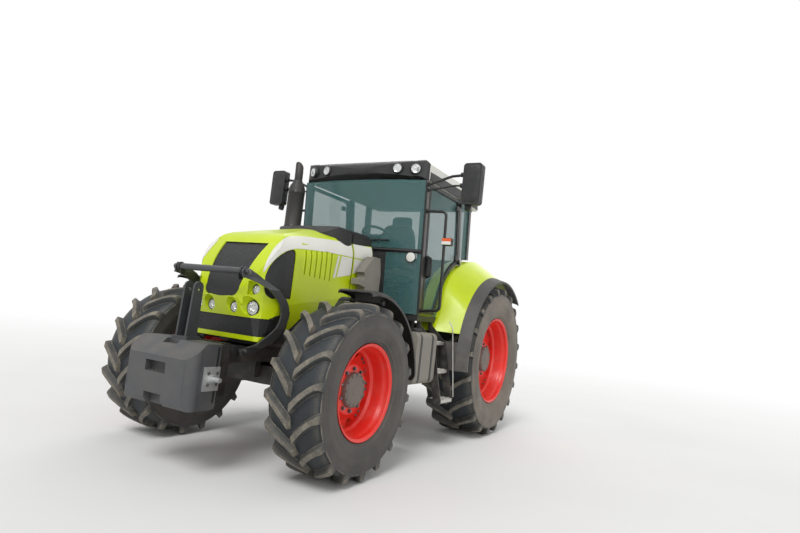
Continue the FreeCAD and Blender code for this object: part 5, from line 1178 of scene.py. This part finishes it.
def make_exhaust():
    """Silencer shield on an elbow, and a thinner outlet that bends out and ends in an oblique cut."""
    elbow = rounded_path([at(1.886, -0.385, 1.908), at(1.886, -0.620, 1.908), at(1.886, -0.620, 2.10)], 0.09)
    shield = [
        (0.050, 0.0), (0.084, 0.0), (0.089, 0.005), (0.090, 0.060), (0.0925, 0.064), (0.0925, 0.088), (0.090, 0.092),
        (0.090, 0.440), (0.0925, 0.444), (0.0925, 0.468), (0.090, 0.472), (0.088, 0.500), (0.076, 0.535),
        (0.058, 0.562), (0.048, 0.590), (0.040, 0.592),
    ]
    path = rounded_path([at(1.886, -0.620, 2.640), at(1.886, -0.620, 2.745), at(1.858, -0.648, 2.835)], 0.10, 12)
    count = 28
    side = cross_frame(Vector(Y))[0]
    rings = []
    for reach in (0.044, 0.041):
        loops = []
        for index, point in enumerate(path):
            ahead = heading(path, index)
            cut = index / (len(path) - 1)
            loop = []
            for step in range(count):
                turn = FULL_TURN * step / count
                out = (side * math.cos(turn) + Vector(Y) * math.sin(turn)) * reach
                out -= ahead * out.dot(ahead)
                out = out.normalized() * reach
                loop.append(point + out + ahead * (out.x * 0.85 * cut ** 6))
            loops.append(loop)
        rings += loops if reach > 0.043 else list(reversed(loops))[:8]
    parts = [tube_data(elbow, 0.050, 24), lathe_data(shield, at(1.886, -0.620, 2.072), Z, 56, False),
             loft_data(rings)]
    piece = merged("exhaust_stack", parts, "exhaust_black", "chassis", 40.0)
    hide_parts("exhaust")
    screws = []
    for z in (2.148, 2.528):
        screws += bolt_data(at(1.965, -0.566, z), (0.85, 0.5, 0), 0.008, 0.012)
    merged("exhaust_clamp_bolts", screws, "steel", "chassis", 30.0)


def cushion(name, middle, size, squareness, lean=0.0, sink=0.0, waist=0.0):
    """Padded block: a cube of quads pressed to a pillow form, with piped seams and a sat-in hollow."""
    shape = bmesh.new()
    bmesh.ops.create_cube(shape, size=2.0)
    bmesh.ops.subdivide_edges(shape, edges=shape.edges, cuts=13, use_grid_fill=True)
    turn = Matrix.Rotation(lean, 4, "Y")
    for vertex in shape.verts:
        x, y, z = vertex.co
        length = (abs(x) ** squareness + abs(y) ** squareness + abs(z) ** squareness) ** (1.0 / squareness)
        pressed = Vector((x, y, z)) / max(length, 1e-6)
        pressed *= max(abs(x), abs(y), abs(z))
        crown = 1.0 - sink * math.exp(-((pressed.x * 1.4) ** 2 + (pressed.y * 1.2) ** 2)) * (pressed.z > 0)
        quilt = 1.0 + 0.012 * math.cos(pressed.y * 9.0) * (abs(pressed.z) > 0.4)
        narrow = 1.0 - waist * (pressed.x ** 2)
        spot = Vector((pressed.x * size[0] / 2, pressed.y * narrow * size[1] / 2,
                       pressed.z * crown * quilt * size[2] / 2))
        vertex.co = turn @ spot + middle
    data = bpy.data.meshes.new(name)
    shape.to_mesh(data)
    shape.free()
    piece = add_piece(name, data, "seat_cloth", "chassis", 80.0)
    smooth = piece.modifiers.new("smooth", "SUBSURF")
    smooth.levels = 1
    smooth.render_levels = 1
    return piece


def make_interior():
    base = cushion("seat_base", at(0.815, 0.0, 1.765), (0.50, 0.50, 0.135), 5.0, 0.06, 0.16)
    cushion("seat_back", at(0.600, 0.0, 2.110), (0.62, 0.47, 0.130), 5.0, -1.45, 0.10, 0.16)
    cushion("seat_head", at(0.552, 0.0, 2.455), (0.16, 0.27, 0.085), 4.0, -1.45)
    for side_name, sign in SIDES:
        cushion("arm_rest_" + side_name, at(0.780, sign * 0.292, 1.905), (0.34, 0.080, 0.060), 4.0)
        cushion("seat_wing_" + side_name, at(0.830, sign * 0.235, 1.800), (0.44, 0.070, 0.10), 4.0)
    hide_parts("seat")
    for side_name, sign in SIDES:
        shell = [(-0.18, 0.0), (0.17, 0.0), (0.15, 0.10), (-0.14, 0.10)]
        slab("seat_hinge_" + side_name, shell, at(0.79, sign * 0.252, 1.790), X, Z,
             (0, sign * 0.012, 0), "black", "chassis", 0.004)
    folds = [(0.150, 0.0)]
    for step in range(8):
        folds += [(0.185, 0.018 + 0.036 * step), (0.155, 0.036 + 0.036 * step)]
    folds.append((0.150, 0.330))
    bellows = lathe("seat_bellows", folds, at(0.79, 0.0, 1.345), Z, "rubber", "chassis", 40, sharp=80.0)
    bellows.scale = (1.0, 0.94, 1.0)
    rail = [(-0.20, -0.16), (0.20, -0.16), (0.20, 0.16), (-0.20, 0.16)]
    slab("seat_plate", rail, at(0.79, 0.0, 1.674), X, Y, (0, 0, 0.026), "black", "chassis", 0.005)
    console = [
        (0.52, 1.345), (1.02, 1.345), (1.06, 1.70), (1.10, 1.93), (1.02, 1.965), (0.70, 1.90), (0.55, 1.80),
    ]
    outline = [(x + REAR_AXLE.x, z) for x, z in console]
    slab("side_console", outline, Vector((0, -0.36, 0)), X, Z, (0, -0.17, 0), "console_grey",
         "chassis", 0.018)
    levers = (
        # x, y, lean, length
        (0.98, -0.40, 0.05, 0.13), (0.93, -0.44, 0.02, 0.10), (0.88, -0.40, -0.02, 0.09), (0.84, -0.46, -0.02, 0.09),
    )
    for index, (x, y, lean, length) in enumerate(levers):
        foot = at(x, y, 1.93)
        head = at(x + lean, y, 1.93 + length)
        tube("lever_" + str(index), [foot, head], 0.006, "steel", "chassis", 0.01, 8)
        knob = [(0.0, -0.022), (0.012, -0.018), (0.017, 0.0), (0.015, 0.016), (0.0, 0.022)]
        lathe("lever_knob_" + str(index), knob, head, (lean, 0, length), "black", "chassis", 16)
    screen = rounded_outline(0.20, 0.14, 0.015)
    slab("terminal", screen, at(1.13, -0.44, 2.08), Vector((0.25, 0.97, 0)), (-0.2, 0, 0.98), (0.022, -0.006, 0.006),
         "black", "chassis", 0.004)
    tube("terminal_arm", [at(1.13, -0.44, 2.05), at(1.10, -0.44, 1.96), at(1.04, -0.44, 1.90)], 0.009, "black")
    for index, y in enumerate((-0.24, -0.16, 0.22)):
        pad = rounded_outline(0.075, 0.11, 0.015)
        slab("pedal_" + str(index), pad, at(1.245, y, 1.445), Y, (0.5, 0, 0.86), (-0.012, 0, 0.007),
             "rubber", "chassis", 0.003)
        tube("pedal_arm_" + str(index), [at(1.250, y, 1.44), at(1.33, y, 1.47), at(1.36, y, 1.36)], 0.009, "black")
    mat = rounded_outline(0.70, 1.02, 0.06)
    slab("floor_mat", mat, at(0.98, 0.0, 1.331), X, Y, (0, 0, 0.008), "rubber", "chassis", 0.003)
    lining = [(-0.02, -0.70), (1.42, -0.72), (1.48, -0.50), (1.49, 0.50), (1.42, 0.72), (-0.02, 0.70)]
    slab("roof_lining", [(x + 0.03, y) for x, y in lining], at(0.0, 0.0, 2.722), X, Y, (0, 0, 0.016),
         "console_grey", "chassis", 0.004)
    dash_top = [(-0.11, -0.16), (0.10, -0.19), (0.10, 0.19), (-0.11, 0.16)]
    slab("dash_binnacle", dash_top, at(1.345, 0.0, 2.088), (1, 0, 0.1), Y, (0, 0, 0.045), "black", "chassis", 0.014)


def make_wheel_grip():
    """Steering wheel: round rim, three flat spokes, a padded hub and a ribbed column boot."""
    centre = at(1.100, 0.0, 2.190)
    lean = Vector((-0.5, 0, 0.866))
    rim = [(0.185 + 0.0148 * math.cos(turn), 0.0148 * math.sin(turn))
           for turn in [2.0 * math.pi * step / 14 for step in range(14)]]
    parts = [lathe_data(rim, centre, lean, 64, True)]
    side, other = cross_frame(lean)
    for angle in (90.0, 210.0, 330.0):
        turn = math.radians(angle)
        out = side * math.cos(turn) + other * math.sin(turn)
        across = lean.cross(out)
        spoke = [(0.030, -0.022), (0.100, -0.013), (0.182, -0.011), (0.182, 0.011), (0.100, 0.013), (0.030, 0.022)]
        parts.append(slab_data(spoke, centre - lean * 0.014, out, across, lean * 0.010))
    hub = [
        (0.0, 0.012), (0.030, 0.011), (0.046, 0.004), (0.052, -0.006), (0.050, -0.022), (0.034, -0.028),
        (0.034, -0.090), (0.048, -0.100), (0.040, -0.112), (0.050, -0.122), (0.042, -0.134), (0.052, -0.144),
        (0.046, -0.235), (0.0, -0.235),
    ]
    parts.append(lathe_data(hub, centre, lean, 40, False))
    piece = merged("steering_grip", parts, "soft_grip", "chassis", 50.0)
    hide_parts("steering_wheel")


def make_mirrors():
    for side_name, sign in SIDES:
        rows = (
            # x, half width, half height
            (1.399, 0.082, 0.194), (1.402, 0.095, 0.206), (1.412, 0.1005, 0.2125), (1.464, 0.1005, 0.2125),
            (1.478, 0.097, 0.209), (1.489, 0.088, 0.200), (1.496, 0.070, 0.182), (1.500, 0.044, 0.156),
            (1.5015, 0.020, 0.132),
        )
        loops = []
        for x, half, tall in rows:
            corner = min(0.045, half * 0.95)
            edge = rounded_outline(half * 2, tall * 2, corner)
            loops.append([at(x, sign * 1.281 + a, 2.701 + b) for a, b in edge])
        mesh_piece("mirror_shell_" + side_name, loft_data(loops), "black", sharp=50.0)
        pane = rounded_outline(0.165, 0.385, 0.036)
        piece = slab("mirror_glass_" + side_name, pane, at(1.401, sign * 1.281, 2.701), Y, Z,
                     (-0.003, 0, 0), "mirror", "chassis", 0.001)
        lens = [(0.0, 0.0), (0.030, 0.0), (0.034, 0.005), (0.034, 0.045), (0.028, 0.052), (0.0, 0.054)]
        lathe("mirror_lamp_" + side_name, lens, at(1.415, sign * 1.240, 2.490), (0.25, 0, -1), "black", "chassis", 28)
        for index, z in enumerate((2.802, 2.690)):
            clamp = [(0.018, -0.020), (0.024, -0.018), (0.024, 0.018), (0.018, 0.020)]
            lathe("mirror_clamp_" + side_name + "_" + str(index), clamp, at(1.450, sign * 1.165, z), Y,
                  "black", "chassis", 24, closed=True)
        for index, (z, finish) in enumerate(((2.116, "orange"), (2.084, "white_lens"))):
            pane = rounded_outline(0.096, 0.034, 0.007)
            piece = slab("side_lens_" + side_name + "_" + str(index), pane, at(1.496, sign * 1.080, z),
                         Y, Z, (0.020, 0, 0), finish, "chassis", 0.004)
        case = rounded_outline(0.106, 0.078, 0.012)
        slab("side_lamp_case_" + side_name, case, at(1.444, sign * 1.080, 2.100), Y, Z,
             (0.056, 0, 0), "black", "chassis", 0.004)


TREADS = (
    # outer edge y, top z
    (1.120, 0.505), (1.035, 0.790), (0.965, 1.075),
)


def make_steps():
    """Bright pressed treads with raised grip rims, on the dark step frames."""
    stud = [(0.007, 0.0), (0.0085, 0.0035), (0.0105, 0.0035), (0.0125, 0.0)]
    for side_name, sign in SIDES:
        for index, (edge, top) in enumerate(TREADS):
            name = "tread_" + side_name + "_" + str(index)
            plate = rounded_outline(0.262, 0.146, 0.012)
            middle = at(1.206, sign * (edge - 0.074), top + 0.0005)
            slab(name, plate, middle, X, Y, (0, 0, 0.004), "tread_metal", "chassis", 0.001)
            lip = [at(1.075, sign * (edge + 0.002), top - 0.012), at(1.337, sign * (edge + 0.002), top - 0.012)]
            parts = [slab_data([(-0.131, -0.017), (0.131, -0.017), (0.131, 0.017), (-0.131, 0.017)],
                               (lip[0] + lip[1]) / 2, Vector(X), Vector(Z),
                               Vector((0, sign * 0.004, 0)))]
            for row in range(3):
                for column in range(8):
                    place = at(1.092 + 0.0325 * column, sign * (edge - 0.120 + 0.046 * row), top + 0.0042)
                    parts.append(lathe_data(stud, place, Z, 12))
            merged(name + "_grips", parts, "tread_metal", "chassis", 40.0)
        bar = [at(1.045, sign * 1.000, 1.300), at(1.045, sign * 1.045, 1.240), at(1.050, sign * 1.128, 0.520)]
        tube("step_edge_" + side_name, bar, 0.006, "tread_metal", "chassis", 0.03, 8)


def make_rear_details():
    """Lamps on the rear fenders."""
    tree = tree_of("rear_fenders")
    for side_name, sign in SIDES:
        hit = struck(tree, at(-2.0, sign * 0.965, 1.720), X)
        case = rounded_outline(0.20, 0.115, 0.016)
        slab("rear_lamp_case_" + side_name, case, hit - Vector((0.050, 0, 0)), Y, Z, (0.058, 0, 0),
             "black", "chassis", 0.004)
        for index, (shift, finish) in enumerate(((-0.062, "red_lens"), (0.0, "red_lens"), (0.062, "orange"))):
            pane = rounded_outline(0.058, 0.100, 0.010)
            middle = hit + Vector((-0.050, sign * shift, 0))
            piece = slab("rear_lens_" + side_name + "_" + str(index), pane, middle, Y, Z,
                         (-0.012, 0, 0), finish, "chassis", 0.003)


def make_tank_details():
    """Straps round the tanks, and a cap on the left one."""
    tree = tree_of("tanks")
    for side_name, sign in SIDES:
        for index, x in enumerate((1.480, 1.725)):
            starts = [at(x, sign * 1.3, 0.690 + 0.0185 * step) for step in range(26)]
            hits = [struck(tree, start, (0, -sign, 0)) for start in starts]
            path = [hit for hit in hits if hit]
            section = ((-0.016, 0.0005), (-0.016, 0.004), (0.016, 0.004), (0.016, 0.0005))
            vertices = [point + Vector((ahead, sign * out, 0)) for point in path for ahead, out in section]
            strap = (vertices, grid_faces(len(path), len(section)))
            mesh_piece("tank_strap_" + side_name + "_" + str(index), strap, "dark_paint")
    cap = [(0.0, 0.0), (0.052, 0.0), (0.052, 0.030), (0.046, 0.036), (0.0, 0.038)]
    lathe("tank_cap", cap, at(1.600, 0.900, 1.163), Z, "black", "chassis", 32)


# Stage and light

FLOOR_HALF = 120.0
# From the middle of the floor, where it begins to fade to white and where it is white
FADE = (5.0, 16.0)


def make_floor():
    half = FLOOR_HALF
    data = bpy.data.meshes.new("floor")
    data.from_pydata([(-half, -half, 0), (half, -half, 0), (half, half, 0), (-half, half, 0)], [], [(0, 1, 2, 3)])
    nodes = Nodes("floor")
    patches = nodes.spread(nodes.noise(0.6, 3.0), 0.3, 0.7)
    nodes.colour(nodes.mix(patches, (0.80, 0.80, 0.79, 1.0), (0.77, 0.77, 0.76, 1.0)))
    nodes.set("Roughness", 0.85)
    ground = nodes.tree.nodes.new("ShaderNodeVectorMath")
    ground.operation = "LENGTH"
    nodes.link(nodes.place, ground.inputs[0])
    path = nodes.tree.nodes.new("ShaderNodeLightPath")
    share = nodes.times(nodes.spread(ground.outputs["Value"], *FADE), path.outputs["Is Camera Ray"])
    white = nodes.tree.nodes.new("ShaderNodeEmission")
    blend = nodes.tree.nodes.new("ShaderNodeMixShader")
    nodes.link(share, blend.inputs["Fac"])
    nodes.link(nodes.shader.outputs["BSDF"], blend.inputs[1])
    nodes.link(white.outputs["Emission"], blend.inputs[2])
    nodes.link(blend.outputs["Shader"], nodes.tree.nodes["Material Output"].inputs["Surface"])
    data.materials.append(nodes.material)
    floor = bpy.data.objects.new("floor", data)
    bpy.context.scene.collection.objects.link(floor)


def make_world():
    """White where the camera, a reflection or glass looks at it, and a soft even light elsewhere."""
    world = bpy.data.worlds.new("studio")
    world.use_nodes = True
    tree = world.node_tree
    background = tree.nodes["Background"]
    path = tree.nodes.new("ShaderNodeLightPath")
    seen = path.outputs["Is Camera Ray"]
    for output in ("Is Glossy Ray", "Is Transmission Ray"):
        most = tree.nodes.new("ShaderNodeMath")
        most.operation = "MAXIMUM"
        tree.links.new(seen, most.inputs[0])
        tree.links.new(path.outputs[output], most.inputs[1])
        seen = most.outputs["Value"]
    strength = tree.nodes.new("ShaderNodeMapRange")
    strength.inputs["To Min"].default_value = 0.52
    strength.inputs["To Max"].default_value = 1.0
    tree.links.new(seen, strength.inputs["Value"])
    tree.links.new(strength.outputs["Result"], background.inputs["Strength"])
    background.inputs["Color"].default_value = (1.0, 1.0, 1.0, 1.0)
    bpy.context.scene.world = world


LAMPS = (
    # name, strength, spread in degrees, direction that the light comes from
    ("key", 1.75, 24.0, (0.80, 0.15, 1.0)),
    ("fill", 0.55, 40.0, (0.55, 1.0, 0.45)),
    ("back", 0.35, 40.0, (-1.0, -0.4, 0.6)),
)


def make_lights():
    for name, strength, spread, aim in LAMPS:
        lamp = bpy.data.lights.new(name, "SUN")
        lamp.energy = strength
        lamp.angle = math.radians(spread)
        piece = bpy.data.objects.new(name, lamp)
        piece.rotation_euler = Vector(aim).to_track_quat("Z", "Y").to_euler()
        bpy.context.scene.collection.objects.link(piece)


make_camera()
make_floor()
make_world()
make_lights()
make_materials()
dress_nodes()
make_wheels()
make_markings()
make_grille_meshes()
make_louvres()
make_nose()
make_front_fittings()
make_front_fenders()
make_cab_trim()
make_roof_details()
make_exhaust()
make_interior()
make_wheel_grip()
make_mirrors()
make_steps()
make_tank_details()
make_rear_details()
bpy.context.scene.view_settings.view_transform = "Standard"
